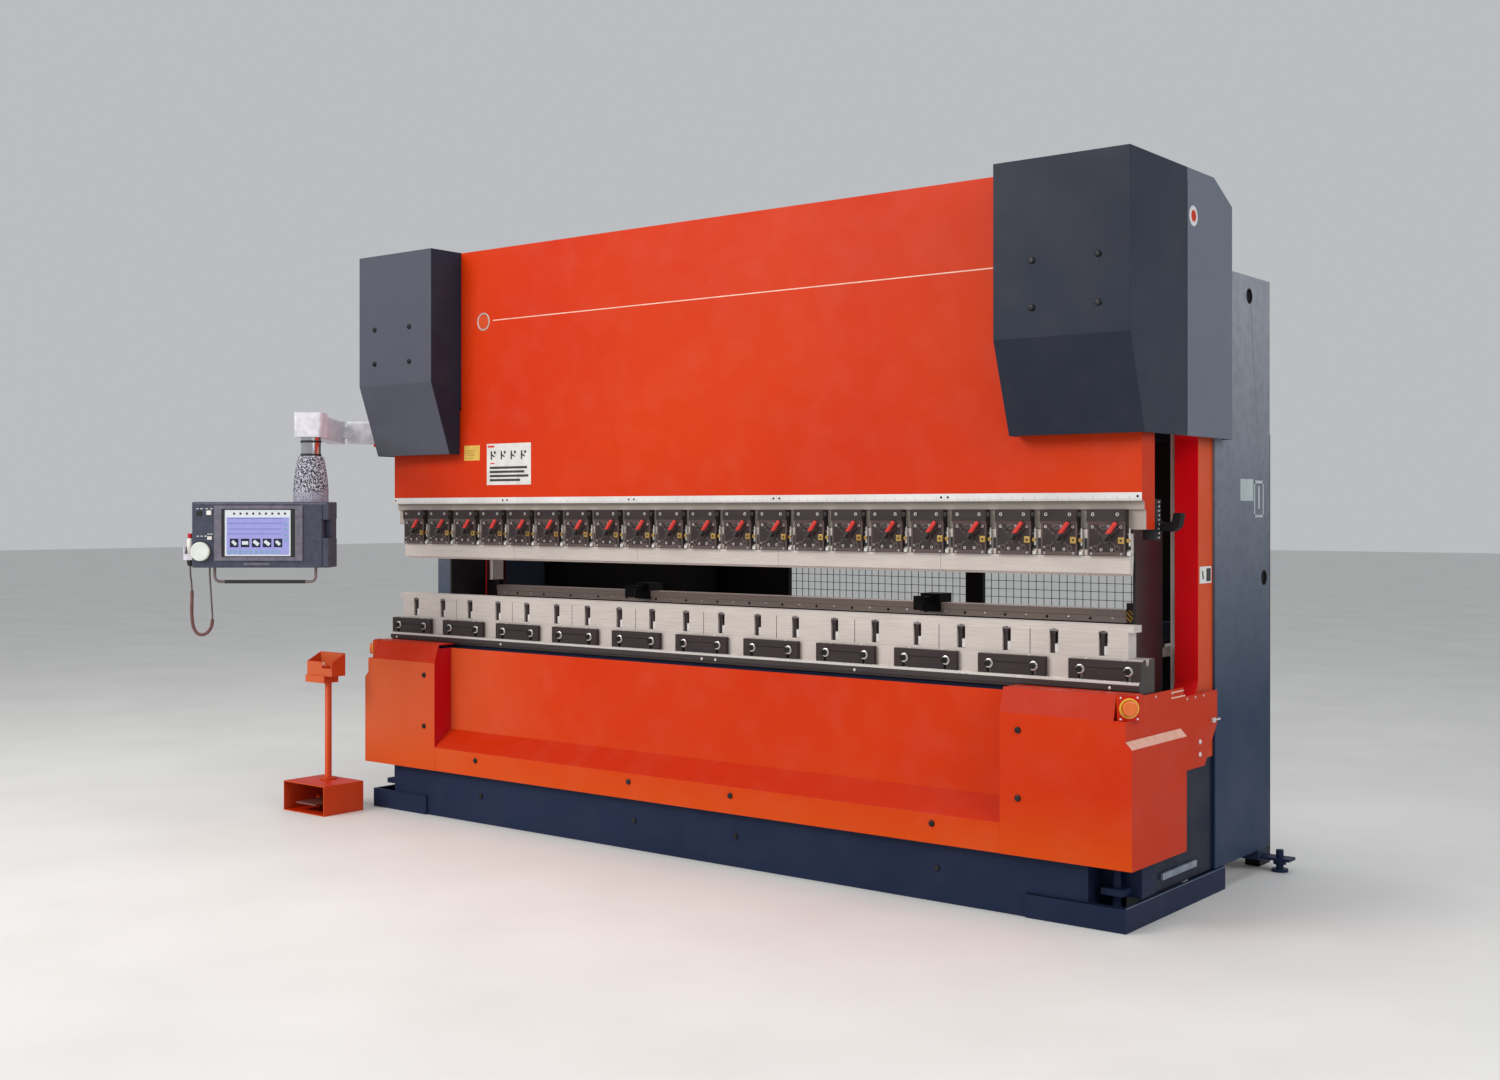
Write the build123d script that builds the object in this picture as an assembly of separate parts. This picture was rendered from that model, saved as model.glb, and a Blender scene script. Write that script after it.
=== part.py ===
from build123d import *
import math
import os

os.makedirs("parts", exist_ok=True)

# Hydraulic press brake. Millimetres, +Z up, +Y to the back, +X to the right as seen
# from the front. The origin is on the floor, at mid length, straight under the bend line.

# ---------------------------------------------------------------- driving dimensions
gap = 0.3                    # air between pieces that move past each other
fit = 0.05                   # radial clearance of a shaft or piston in its bore

# table and bending line
table_length = 4300.0        # ram, table and lower tooling rail
bed_plate = 110.0            # thickness of the lower beam
bed_front = -47.0            # front face of the lower beam
bed_bottom = 20.0
bed_top = 872.0

# ram
ram_plate = 112.0
ram_front = -47.0
ram_bottom = 1490.0
ram_top = 2894.0
ram_shoulder_z = 2080.0      # top of the ram's ends, under the cylinders
ram_shoulder_x = 1622.0      # half width of the tall middle part
ram_stroke = 180.0
lip_height = 34.0            # upper rebate of the ram's lower edge
lip_depth = 23.0
seat_depth = 37.0            # deeper rebate that seats the punch holders
scale_height = 31.0
scale_thick = 4.0
scale_bottom = 1600.0
scale_pieces = 5

# punch holders
holder_count = 21
holder_pitch = 200.0
holder_width = 158.0
holder_bottom = 1389.0
holder_top = 1566.0
holder_front = -38.0
holder_back = 32.0
holder_ledge = 9.0           # how far the top ledge stands out
holder_ledge_height = 45.0
link_width = 18.0
lever_z = 1455.0
lever_lean = 38.0            # degrees from upright, clamped
lever_reach = 80.0
lever_handle_r = 8.5
lever_hub_r = 13.0
lever_shaft_r = 6.0
lever_stand_off = 14.0       # hub thickness, which carries the handle clear of the ledge
brass_r = 9.0
brass_offset_x = 62.0
brass_z = 1448.0

# tooling
punch_count = 5
punch_length = 835.0
punch_gap = 1.2
punch_front = -22.0
punch_back = 10.0
punch_body_bottom = 1322.0
punch_tip = 1312.0
punch_blade = 4.0            # half thickness above the tip
tang_half = 7.0
tang_height = 31.0
riser_count = 10
riser_length = 415.0
riser_gap = 3.0
riser_half = 35.0
riser_bottom = 1000.0
riser_top = 1100.0
window_width = 37.0
window_height = 88.0
window_bottom = 1007.0
riser_tang = 12.2
die_top = 1127.0
die_overhang = 22.0
vee_width = 40.0
vee_depth = 20.0

# lower rail, holder block and clamp bars
rail_front = -72.0
rail_top = 917.0
block_front = -39.0
clamp_count = 11
clamp_pitch = 400.0
clamp_width = 300.0
clamp_thick = 20.0
clamp_top = 994.0
clamp_bolt_spacing = 200.0
clamp_bolt_z = 955.0
bolt_r = 8.0
bolt_head_r = 14.0
washer_r = 16.0

# side frames
frame_inner = 2034.0
frame_thick = 101.0
frame_back = 1257.0
frame_bottom = 98.0
frame_top = 2563.0
frame_arm_front = 85.0
throat_back = 510.0
throat_top = 1900.0
throat_bottom = 820.0
throat_radius = 60.0
lift_hole_r = 30.0
lift_hole = (1021.0, 2477.0)      # Y, Z
cable_hole = (1189.0, 1272.0)

# hydraulic cylinders
cylinder_x = 1880.0
barrel_r = 140.0
bore_r = 100.0
rod_r = 60.0
barrel_bottom = 2290.0
barrel_top = 2800.0
barrel_end = 40.0
piston_thick = 50.0
piston_bottom = 2700.0

# cylinder covers
cover_inner = 1626.0
cover_outer = 2195.0
cover_front = -245.0
cover_toe = -121.0           # front of the bottom edge, where the slope ends
cover_fold = 2218.0
cover_bottom = 1853.0
cover_top = 2897.0
cover_seam = 263.0
cover_back = 713.0
cover_chamfer_y = 525.0
cover_chamfer_z = 2805.0
sheet = 5.0
cover_screw_x = (1794.0, 2068.0)
cover_screw_z = (2331.0, 2510.0)
screw_r = 13.0
screw_proud = 8.0

# bed casing
box_inner = 1637.0
box_outer = 2187.0
box_upper_outer = 2161.0
box_front = -213.0
box_back = 276.0
box_bottom = 238.0
box_fold = 785.0
box_top = 880.0
box_top_front = -185.0
box_jog = (684.0, 712.0)
guard_top = (870.0, 833.0)
guard_step_y = 303.0
guard_back = 639.0
guard_diagonal = (512.0, 540.0, 700.0)    # Y at the bottom, bottom Z, Z where it starts
casing = 6.0
panel_front = -103.0
panel_top = 858.0
ledge_top = 441.0
ledge_edge = 357.0
box_screw_x = 1716.0
box_screw_z = (460.0, 721.0)
panel_screw_x = (300.0, 1330.0)
ledge_screw_z = 318.0
plinth_screw_z = 134.0

# emergency-stop stations on the front corners
stop_face = (2158.0, -177.0)       # middle of the plate that faces out of the corner
stop_half_width = 40.0
stop_z = (786.0, 880.0)
stop_notch = (2112.0, -138.0)      # inner corner of the notch that it sits in
stop_side = -112.0                 # where the housing meets the guard's side
stop_depth = 24.0
stop_button_r = 29.0
stop_stem_r = 9.0
stop_travel = 5.0

# plinth, floor trays and levelling feet
plinth_half = 1992.0
plinth_front = -174.0
plinth_back = 154.0
plinth_top = 232.0
plate = 20.0
tray_inner = 1734.0
tray_outer = 2150.0
tray_back = 751.0
tray_height = 95.0
tray_wall = 12.0
lug_outer = 2260.0
lug_front = 1180.0
lug_bottom = 50.0
lug_thick = 12.0
foot_r = 35.0
stud_r = 16.0

# backgauge
slide_x = (1890.0, 1960.0)
slide_y = (165.0, 950.0)
slide_z = (960.0, 1000.0)
gauge_half = 1862.0
gauge_front = 426.0
gauge_deep = 80.0
gauge_z = (1103.0, 1157.0)
tongue = 26.0
tongue_half = 10.0
tower_x = (1866.0, 1930.0)
tower_top = 1185.0
finger_x = (-784.0, 930.0)
finger_half = 50.0
finger_tip = 318.0

# casings at the sides and the rear guard
cabinet_outer = 2419.0
cabinet_top = 2000.0
door_thick = 20.0
side_panel_front = 652.0
side_panel_thick = 12.0
tank_x = (-2020.0, -974.0)
tank_y = (960.0, 1240.0)
tank_z = (1060.0, 1600.0)
motor_r = 120.0
guard_post = 68.0
guard_post_x = 618.0
guard_gap = 96.0             # from the frames to the rear guard
guard_depth = 30.0
guard_y = (frame_back + guard_gap, frame_back + guard_gap + guard_depth)
guard_height = 1900.0
mesh_thick = 3.0

# operator's pendant; its long side runs along the direction (pendant_u)
arm_root = (-2262.0, -26.0)
arm_elbow = (-2467.0, -187.0)
arm_head = (-1911.0, -767.0)
arm_z = (1925.0, 2045.0)
arm_half = 47.0
arm_start = 75.0
ear_r = 55.0
ear_thick = 30.0
pin_r = 20.0
head_half = 67.0
spindle_r = 30.0
post_r = 48.0
post_bottom = 1831.0
cone_bottom = 1661.0
cone_r = (63.0, 86.0)
case_u = (-554.0, 114.0)
case_w = (-100.0, 60.0)
case_z = (1285.0, 1606.0)
pendant_angle = 38.2
knob_u = -509.0
knob_z = 1364.0
knob_r = 46.0
knob_thick = 22.0
grip_r = 9.0
grip_z = 1215.0
grip_u = (-455.0, 40.0)
cord_r = 4.0
stylus_r = 16.0
stylus_u = -574.0
stylus_w = -62.0
stylus_z = (1290.0, 1452.0)
cradle_u = (-600.0, -554.0)
cradle_z = (1320.0, 1390.0)

# foot switch stand
stand_x = (-2428.0, -2093.0)
stand_y = (-552.0, -300.0)
stand_height = 153.0
stand_sheet = 4.0
stand_post = (-2291.0, -372.0)
stand_post_r = 17.5
stand_lip_z = (660.0, 697.0)
stand_head_x = (-2410.0, -2203.0)
stand_head_y = (-417.0, -330.0)
stand_head_front = 770.0
stand_head_back = 815.0
pedal_x = (-2350.0, -2190.0)
pedal_front = -530.0
pedal_hinge_y = -370.0
pedal_z = 45.0
pedal_pin_r = 6.0
stand_button_r = 16.0
stand_button_x = -2345.0


# ---------------------------------------------------------------- helpers
def block(x, y, z):
    """A box given by its lowest and highest X, Y and Z."""
    (x0, x1), (y0, y1), (z0, z1) = sorted(x), sorted(y), sorted(z)
    size = Box(x1 - x0, y1 - y0, z1 - z0)
    return Pos((x0 + x1) / 2, (y0 + y1) / 2, (z0 + z1) / 2) * size


def upright(x, y, radius, z0, z1):
    """A cylinder that stands along Z."""
    return Pos(x, y, (z0 + z1) / 2) * Cylinder(radius, z1 - z0)


def along_y(x, z, radius, y0, y1):
    """A cylinder that lies along Y."""
    return Pos(x, (y0 + y1) / 2, z) * Rot(90, 0, 0) * Cylinder(radius, y1 - y0)


def along_x(y, z, radius, x0, x1):
    """A cylinder that lies along X."""
    return Pos((x0 + x1) / 2, y, z) * Rot(0, 90, 0) * Cylinder(radius, x1 - x0)


def side_prism(points, x0, x1):
    """A prism along X, from an outline of (Y, Z) points."""
    outline = Polyline([(x0, y, z) for y, z in points], close=True)
    return extrude(make_face(outline), amount=x1 - x0, dir=(1, 0, 0))


def front_prism(points, y0, y1):
    """A prism along Y, from an outline of (X, Z) points."""
    outline = Polyline([(x, y0, z) for x, z in points], close=True)
    return extrude(make_face(outline), amount=y1 - y0, dir=(0, 1, 0))


def round_at(shape, y, z, radius):
    """Round the edges along X that pass through (Y, Z)."""
    edges = [
        edge
        for edge in shape.edges().filter_by(Axis.X)
        if abs(edge.center().Y - y) < 1 and abs(edge.center().Z - z) < 1
    ]
    return fillet(edges, radius)


def hexagon_y(x, z, radius, y0, y1):
    """A hexagonal head that lies along Y."""
    head = extrude(RegularPolygon(radius, 6), amount=y1 - y0)
    return Pos(x, y1, z) * Rot(90, 0, 0) * head


def spread(count, pitch):
    """Places of a row with its middle at zero."""
    return [(index - (count - 1) / 2) * pitch for index in range(count)]


def both(shape):
    """A piece and its mirror image at the machine's other end."""
    return [shape, shape.mirror(Plane.YZ)]


def solids_of(*shapes):
    """All the solids of some shapes and lists of shapes, in one flat list."""
    found = []
    for shape in shapes:
        if isinstance(shape, list):
            found += solids_of(*shape)
        else:
            found += list(shape.solids())
    return found


def save(node, *shapes):
    export_step(Compound(children=solids_of(*shapes)), f"parts/{node}.step")


# ---------------------------------------------------------------- frame and bed
def side_frame():
    """The right C-frame, with its throat open to the front."""
    arm_back = bed_front + bed_plate
    outline = [
        (arm_back, frame_bottom),
        (frame_back, frame_bottom),
        (frame_back, frame_top),
        (frame_arm_front, frame_top),
        (frame_arm_front, throat_top),
        (throat_back, throat_top),
        (throat_back, throat_bottom),
        (arm_back, throat_bottom),
    ]
    outer = frame_inner + frame_thick
    frame = side_prism(outline, frame_inner, outer)
    frame = round_at(frame, throat_back, throat_top, throat_radius)
    frame = round_at(frame, throat_back, throat_bottom, throat_radius)
    lug_x = (outer, cover_outer - sheet)
    frame += block(lug_x, (cover_seam - 60, cover_seam + 60), (2400, 2460))
    frame -= along_x(*lift_hole, lift_hole_r, frame_inner, outer)
    frame -= along_x(*cable_hole, lift_hole_r, frame_inner, outer)
    return frame


def cross_ties():
    """The box beams that join the two frames, and the shelf that carries the tank."""
    top = block((-frame_inner, frame_inner), (1040, 1240), (2200, 2400))
    top -= block((-frame_inner, frame_inner), (1052, 1228), (2212, 2388))
    low = block((-frame_inner, frame_inner), (1100, 1240), (300, 500))
    low -= block((-frame_inner, frame_inner), (1112, 1228), (312, 488))
    shelf_top = tank_z[0]
    shelf = block((-frame_inner, frame_inner), (1180, tank_y[1]), (shelf_top - 90, shelf_top))
    shelf += block((-frame_inner, tank_x[1] + 20), (tank_y[0], 1180), (shelf_top - 15, shelf_top))
    return [top, low, shelf]


def arm_bracket():
    """The clevis on the left frame that carries the pendant's arm."""
    x, y = arm_root
    side = -(frame_inner + frame_thick)
    bar = block((-cover_outer - 30, side), (130, 190), (1945, 2025))
    outside = -cover_outer - 10
    for z0, z1 in ((arm_z[1] + gap, arm_z[1] + 16), (arm_z[0] - 16, arm_z[0] - gap)):
        ear = block((x - 40, outside), (y, 190), (z0, z1))
        bar += ear + upright(x, y, ear_r, z0, z1)
    bar += block((x - 40, outside), (130, 190), (arm_z[0] - 16, arm_z[1] + 16))
    return bar - upright(x, y, pin_r, arm_z[0] - 20, arm_z[1] + 20)


def bed_beam():
    """The thick lower beam, with the lugs that carry its casing."""
    half = table_length / 2
    back = bed_front + bed_plate
    beam = block((-half, half), (bed_front, back), (tray_height + 10, bed_top))
    beam += block((-plinth_half, plinth_half), (bed_front, back), (bed_bottom, tray_height + 10))
    panel_back = panel_front + casing
    for x in (-1300, -450, 450, 1300):
        beam += block((x - 40, x + 40), (panel_back, bed_front), (560, 640))
    for x in (-1900, 1900):
        beam += block((x - 40, x + 40), (box_front + casing, bed_front), (400, 480))
    return beam


def plinth():
    """The welded base under the bed: a floor plate with front, back and end plates."""
    half = plinth_half
    base = block((-half, half), (plinth_front, plinth_back), (0, bed_bottom))
    front = block((-half, half), (plinth_front, plinth_front + plate), (0, plinth_top))
    back = block((-half, half), (plinth_back - plate, plinth_back), (0, plinth_top))
    base += front + back
    for x in (-half, half - plate):
        end = block((x, x + plate), (plinth_front, bed_front), (0, plinth_top))
        base += end
    return base


def floor_tray():
    """The open tray under the right end of the bed."""
    front = plinth_front - tray_wall
    tray = block((tray_inner, tray_outer), (front, plinth_front), (0, tray_height))
    tray += block((tray_outer - tray_wall, tray_outer), (front, tray_back), (0, tray_height))
    tray += block((plinth_half, tray_outer), (plinth_front, tray_back), (0, tray_wall))
    tray += block((plinth_half, tray_outer), (tray_back - tray_wall, tray_back), (0, tray_height))
    return tray


def rear_foot():
    """The right rear lug under the frame, and the levelling foot screwed into it."""
    outer = frame_inner + frame_thick
    lug = block((frame_inner, outer), (lug_front - 30, frame_back), (lug_bottom, frame_bottom))
    lug += block((outer, lug_outer), (lug_front, frame_back), (lug_bottom, lug_bottom + lug_thick))
    x = (outer + lug_outer) / 2 + 8
    y = (lug_front + frame_back) / 2
    lug -= upright(x, y, stud_r, 0, frame_bottom)
    foot = upright(x, y, foot_r, 0, 12) + upright(x, y, stud_r, 12, frame_bottom - 4)
    foot += upright(x, y, stud_r * 1.7, lug_bottom - 18, lug_bottom)
    return [lug, foot]


def front_foot():
    """The levelling foot that stands in the right tray, under the bed's end."""
    x = (plinth_half + tray_outer - tray_wall) / 2
    y = (bed_front + bed_front + bed_plate) / 2 - 90
    foot = upright(x, y, foot_r, tray_wall, tray_wall + 12)
    foot += upright(x, y, stud_r, tray_wall + 12, 210)
    lug = block((x - 45, x + 45), (y - 45, bed_front), (120, 145))
    return [foot, lug - upright(x, y, stud_r, 100, 160)]


# ---------------------------------------------------------------- bed casing
def bed_end_box():
    """The right end casing, its corner notch for the stop station, and its side guard."""
    low, high = box_jog
    front_outline = [
        (box_inner, box_bottom),
        (box_outer, box_bottom),
        (box_outer, low),
        (box_upper_outer, high),
        (box_upper_outer, box_fold),
        (box_inner, box_fold),
    ]
    box = front_prism(front_outline, box_front, box_front + casing)
    lean = [
        (box_front, box_fold),
        (box_front + casing, box_fold),
        (box_top_front + casing, box_top),
        (box_top_front, box_top),
    ]
    box += side_prism(lean, box_inner, box_upper_outer)
    lid_y = (box_top_front, rail_front - 8)
    box += block((box_inner, box_upper_outer), lid_y, (box_top - casing, box_top))
    wall = (box_outer - casing, box_outer)
    box += block(wall, (box_front, box_back), (box_bottom, low))
    jog = [
        (box_outer - casing, low),
        (box_outer, low),
        (box_upper_outer, high),
        (box_upper_outer - casing, high),
    ]
    box += front_prism(jog, box_front, box_back)
    y_low, z_low, z_start = guard_diagonal
    guard = [
        (box_front, high),
        (box_front, box_fold),
        (box_top_front, guard_top[0] + 10),
        (lid_y[1], guard_top[0] + 10),
        (lid_y[1], guard_top[0]),
        (guard_step_y, guard_top[0]),
        (guard_step_y, guard_top[1]),
        (guard_back, guard_top[1]),
        (guard_back, z_start),
        (y_low, z_low),
        (box_back, z_low),
        (box_back, high),
    ]
    box += side_prism(guard, box_upper_outer - casing, box_upper_outer)
    frame_side = frame_inner + frame_thick
    box += block((frame_side, box_outer), (box_back - casing, box_back), (box_bottom, low))
    box += inner_return()
    notch_x = (stop_notch[0], box_outer + 1)
    return box - block(notch_x, (box_front - 1, stop_notch[1]), (stop_z[0], box_top + 1)) + stop_wall()


def left_end_box():
    """The left end casing, whose guard ends at the cabinet's front."""
    cabinet_x = (-box_upper_outer - 1, -frame_inner - frame_thick)
    cabinet_y = (throat_back, guard_back + 1)
    return bed_end_box().mirror(Plane.YZ) - block(cabinet_x, cabinet_y, (frame_bottom, cabinet_top))


def inner_return():
    """The wall that joins the end casing's front to the recessed bed panel."""
    outline = [
        (box_front, box_bottom),
        (panel_front + casing, box_bottom),
        (panel_front + casing, panel_top),
        (box_top_front, panel_top),
        (box_front, box_fold),
    ]
    return side_prism(outline, box_inner, box_inner + casing)


def stop_wall():
    """The notch's own side wall and back wall, behind the stop station."""
    x, y = stop_notch
    side = block((x - casing, x), (box_top_front, y + casing), (stop_z[0] - casing, box_top))
    back = block((x, box_upper_outer), (y, y + casing), (stop_z[0] - casing, box_top))
    floor = block((x - casing, box_upper_outer), (box_front + 1, y), (stop_z[0] - casing, stop_z[0]))
    return side + back + floor


def stop_place():
    """The station's own frame: X along the plate, Y into the machine."""
    return Pos(*stop_face, sum(stop_z) / 2) * Rot(0, 0, 45)


def stop_station():
    """The wedge-shaped housing whose plate faces out of the front corner."""
    x, y = stop_face
    reach = stop_half_width / math.sqrt(2)
    inset = stop_depth / math.sqrt(2)
    outline = [
        (x - reach, y - reach),
        (x + reach, y + reach),
        (x + reach, stop_side),
        (box_upper_outer, stop_side),
        (box_upper_outer, y + inset + box_upper_outer - x + inset),
        (x - reach - inset, y - reach + inset),
    ]
    face = make_face(Polyline([(a, b, stop_z[0]) for a, b in outline], close=True))
    house = extrude(face, amount=stop_z[1] - stop_z[0], dir=(0, 0, 1))
    return house - stop_place() * along_y(0, 0, stop_stem_r + fit, -1, stop_depth - 4)


def stop_button(side):
    """A mushroom button and its stem, at the right (1) or left (-1) end."""
    face = -stop_travel - gap
    stem = along_y(0, 0, stop_stem_r, face, stop_depth - 4 - stop_travel - gap)
    cap = along_y(0, 0, stop_button_r, face - 16, face)
    button = stop_place() * (stem + fillet(cap.edges().group_by(Axis.Y)[0], 7))
    return button if side > 0 else button.mirror(Plane.YZ)


def bed_front_panel():
    """The recessed front sheet of the bed, with the sloped ledge along its foot."""
    outline = [
        (panel_front, panel_top),
        (panel_front, ledge_top),
        (box_front, ledge_edge),
        (box_front, box_bottom),
        (box_front + casing, box_bottom),
        (box_front + casing, ledge_edge - 3),
        (panel_front + casing, ledge_top - 3),
        (panel_front + casing, panel_top),
    ]
    return side_prism(outline, -box_inner, box_inner)


# ---------------------------------------------------------------- table and lower tooling
def clamp_bolt_places():
    return [
        x + side * clamp_bolt_spacing / 2
        for x in spread(clamp_count, clamp_pitch)
        for side in (-1, 1)
    ]


def table_rails():
    """The stepped table rail, and the holder block that the lower tooling seats in."""
    half = table_length / 2
    back = bed_front + bed_plate
    profile = [
        (rail_front + 10, bed_top),
        (rail_front + 10, bed_top + 12),
        (rail_front, bed_top + 12),
        (rail_front, rail_top - 12),
        (rail_front + 6, rail_top - 12),
        (rail_front + 6, rail_top),
        (back, rail_top),
        (back, bed_top),
    ]
    rail = side_prism(profile, -half, half)
    holder = block((-half, half), (block_front, back), (rail_top, riser_bottom))
    slot = riser_tang + gap
    holder -= block((-half, half), (-slot, slot), (riser_bottom - 25, riser_bottom))
    for x in clamp_bolt_places():
        holder -= along_y(x, clamp_bolt_z, bolt_r, block_front, block_front + 18)
    return [rail, holder]


def clamp_bars():
    """The bars that press the lower tooling, each with two slots open at the foot."""
    bars = []
    y = (block_front - clamp_thick, block_front)
    for x in spread(clamp_count, clamp_pitch):
        bar = block((x - clamp_width / 2, x + clamp_width / 2), y, (rail_top, clamp_top))
        for side in (-1, 1):
            slot_x = x + side * clamp_bolt_spacing / 2
            slot = (slot_x - bolt_r - 1, slot_x + bolt_r + 1)
            bar -= block(slot, y, (rail_top, clamp_bolt_z))
            bar -= along_y(slot_x, clamp_bolt_z, bolt_r + 1, *y)
        bars.append(bar)
    return bars


def clamp_bolts():
    """The bars' hexagon bolts with their washers."""
    bolts = []
    face = block_front - clamp_thick
    for x in clamp_bolt_places():
        bolt = along_y(x, clamp_bolt_z, bolt_r, face - 3, block_front + 18)
        bolt += along_y(x, clamp_bolt_z, washer_r, face - 4, face)
        bolt += hexagon_y(x, clamp_bolt_z, bolt_head_r, face - 14, face - 4)
        bolts.append(bolt)
    return bolts


def die_risers():
    """The slotted risers that carry the die along the table."""
    risers = []
    for x in spread(riser_count, riser_length + riser_gap):
        span = (x - riser_length / 2, x + riser_length / 2)
        riser = block(span, (-riser_half, riser_half), (riser_bottom, riser_top))
        riser += block(span, (-riser_tang, riser_tang), (riser_bottom - 24, riser_bottom))
        for side in (-1, 1):
            middle = x + side * (riser_length + riser_gap) / 4
            window = (middle - window_width / 2, middle + window_width / 2)
            height = (window_bottom, window_bottom + window_height)
            riser -= block(window, (-riser_half, riser_half), height)
        risers.append(riser)
    return risers


def die_rail():
    """The die along the risers, with its vee open at the top."""
    risers = riser_count * (riser_length + riser_gap) - riser_gap
    half = risers / 2 + die_overhang
    outline = [
        (-riser_half, riser_top),
        (-riser_half, die_top),
        (-vee_width / 2, die_top),
        (0, die_top - vee_depth),
        (vee_width / 2, die_top),
        (riser_half, die_top),
        (riser_half, riser_top),
    ]
    return side_prism(outline, -half, half)


# ---------------------------------------------------------------- ram and upper tooling
def ram():
    """The ram plate: tall between the cylinders, rebated below for the holders."""
    half = table_length / 2
    back = ram_front + ram_plate
    plate_outline = [
        (-half, ram_bottom),
        (half, ram_bottom),
        (half, ram_shoulder_z),
        (ram_shoulder_x, ram_shoulder_z),
        (ram_shoulder_x, ram_top),
        (-ram_shoulder_x, ram_top),
        (-ram_shoulder_x, ram_shoulder_z),
        (-half, ram_shoulder_z),
    ]
    body = front_prism(plate_outline, ram_front, back)
    body -= block((-half, half), (ram_front, ram_front + seat_depth), (ram_bottom, holder_top))
    lip = (holder_top, holder_top + lip_height)
    return body - block((-half, half), (ram_front, ram_front + lip_depth), lip)


def ram_scale():
    """The ruler strips along the ram's lower front edge."""
    length = table_length / scale_pieces
    y = (ram_front - scale_thick, ram_front)
    z = (scale_bottom, scale_bottom + scale_height)
    return [block((x - length / 2 + 0.5, x + length / 2 - 0.5), y, z) for x in
            spread(scale_pieces, length)]


def punch_holder(x):
    """One quick clamp: its body with the top ledge, and the link at its right side."""
    span = (x - holder_width / 2, x + holder_width / 2)
    seat = ram_front + seat_depth
    body = block(span, (holder_front, seat), (holder_bottom, holder_top))
    body += block(span, (holder_front, holder_back), (holder_bottom, ram_bottom))
    ledge_z = (holder_top - holder_ledge_height, holder_top)
    body += block(span, (holder_front - holder_ledge, holder_front), ledge_z)
    slot = tang_half + 0.2
    body -= block(span, (-slot, slot), (holder_bottom, holder_bottom + tang_height + 1))
    body -= along_y(x, lever_z, lever_shaft_r + fit, holder_front, holder_front + 20)
    body -= along_y(x + brass_offset_x, brass_z, brass_r, holder_front, holder_front + 10)
    link = block((span[1], span[1] + link_width), (-26, -slot), (1400, 1475))
    return [body, link]


def brass_bolts():
    """The round adjusting bolt in each holder's face and the nut on its side link."""
    bolts = []
    for x in spread(holder_count, holder_pitch):
        face = along_y(x + brass_offset_x, brass_z, brass_r, holder_front - 5, holder_front + 10)
        side = x + holder_width / 2
        nut = along_y(side + link_width / 2, brass_z, brass_r - 1, -34, -26)
        bolts += [face, nut]
    return bolts


def clamp_lever(x):
    """A holder's hand lever: its shaft, hub and round-ended handle."""
    hub_front = holder_front - gap - lever_stand_off
    lever = along_y(x, lever_z, lever_shaft_r, hub_front, holder_front + 19)
    lever += along_y(x, lever_z, lever_hub_r, hub_front, holder_front - gap)
    middle = hub_front - lever_handle_r + 2
    reach = lever_reach - lever_handle_r
    handle = Pos(0, 0, reach / 2) * Cylinder(lever_handle_r, reach + 2 * lever_handle_r)
    handle = fillet(handle.edges().filter_by(GeomType.CIRCLE), lever_handle_r * 0.85)
    return lever + Pos(x, middle, lever_z) * Rot(0, lever_lean, 0) * handle


def punches():
    """The upper tool in equal lengths: a tang, a flat-fronted body and a thin tip."""
    outline = [
        (-tang_half, holder_bottom + tang_height),
        (-tang_half, holder_bottom),
        (punch_front, holder_bottom),
        (punch_front, punch_body_bottom),
        (-punch_blade, punch_body_bottom),
        (-punch_blade, punch_tip + 4),
        (-1, punch_tip),
        (1, punch_tip),
        (punch_blade, punch_body_bottom),
        (punch_back, holder_bottom),
        (tang_half, holder_bottom),
        (tang_half, holder_bottom + tang_height),
    ]
    half = punch_length / 2
    places = spread(punch_count, punch_length + punch_gap)
    return [side_prism(outline, x - half, x + half) for x in places]


# ---------------------------------------------------------------- hydraulics
def cylinder_y():
    return ram_front + ram_plate / 2


def cylinder():
    """The right cylinder barrel with its closed top, its gland and its mounting lug."""
    y = cylinder_y()
    lug_back = frame_arm_front + 120
    barrel = block((cylinder_x, frame_inner), (frame_arm_front, lug_back), (2380, frame_top))
    barrel += upright(cylinder_x, y, barrel_r, barrel_bottom, barrel_top)
    inside = (barrel_bottom + barrel_end, barrel_top - barrel_end)
    barrel -= upright(cylinder_x, y, bore_r, *inside)
    return barrel - upright(cylinder_x, y, rod_r + fit, barrel_bottom, inside[1])


def piston_rod():
    """The right piston and its rod, which stands on the ram's shoulder."""
    y = cylinder_y()
    rod = upright(cylinder_x, y, rod_r, ram_shoulder_z, piston_bottom)
    return rod + upright(cylinder_x, y, bore_r - fit, piston_bottom, piston_bottom + piston_thick)


def hydraulic_unit():
    """The oil tank, with the motor and pump on its lid."""
    tank = block(tank_x, tank_y, tank_z)
    y = (tank_y[0] + tank_y[1]) / 2
    foot = 30
    z = tank_z[1] + foot + motor_r
    left = tank_x[0] + 120
    motor = along_x(y, z, motor_r, left, left + 380)
    motor += block((left + 60, left + 320), (y - 90, y + 90), (tank_z[1], z))
    pump = along_x(y, z, motor_r * 0.6, left + 380, left + 560)
    pump += block((left + 440, left + 520), (y - 40, y + 40), (tank_z[1], z))
    return [tank, motor, pump]


def cover_front_outline(inset):
    """The (Y, Z) outline of a front cover, moved inwards by inset; its foot stays open."""
    slope = (cover_toe - cover_front) / (cover_fold - cover_bottom)
    foot = cover_bottom - (5 if inset else 0)
    toe = cover_toe - slope * (foot - cover_bottom)
    return [
        (cover_front + inset, cover_top - inset),
        (cover_front + inset, cover_fold),
        (toe + inset, foot),
        (cover_seam, foot),
        (cover_seam, cover_top - inset),
    ]


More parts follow.
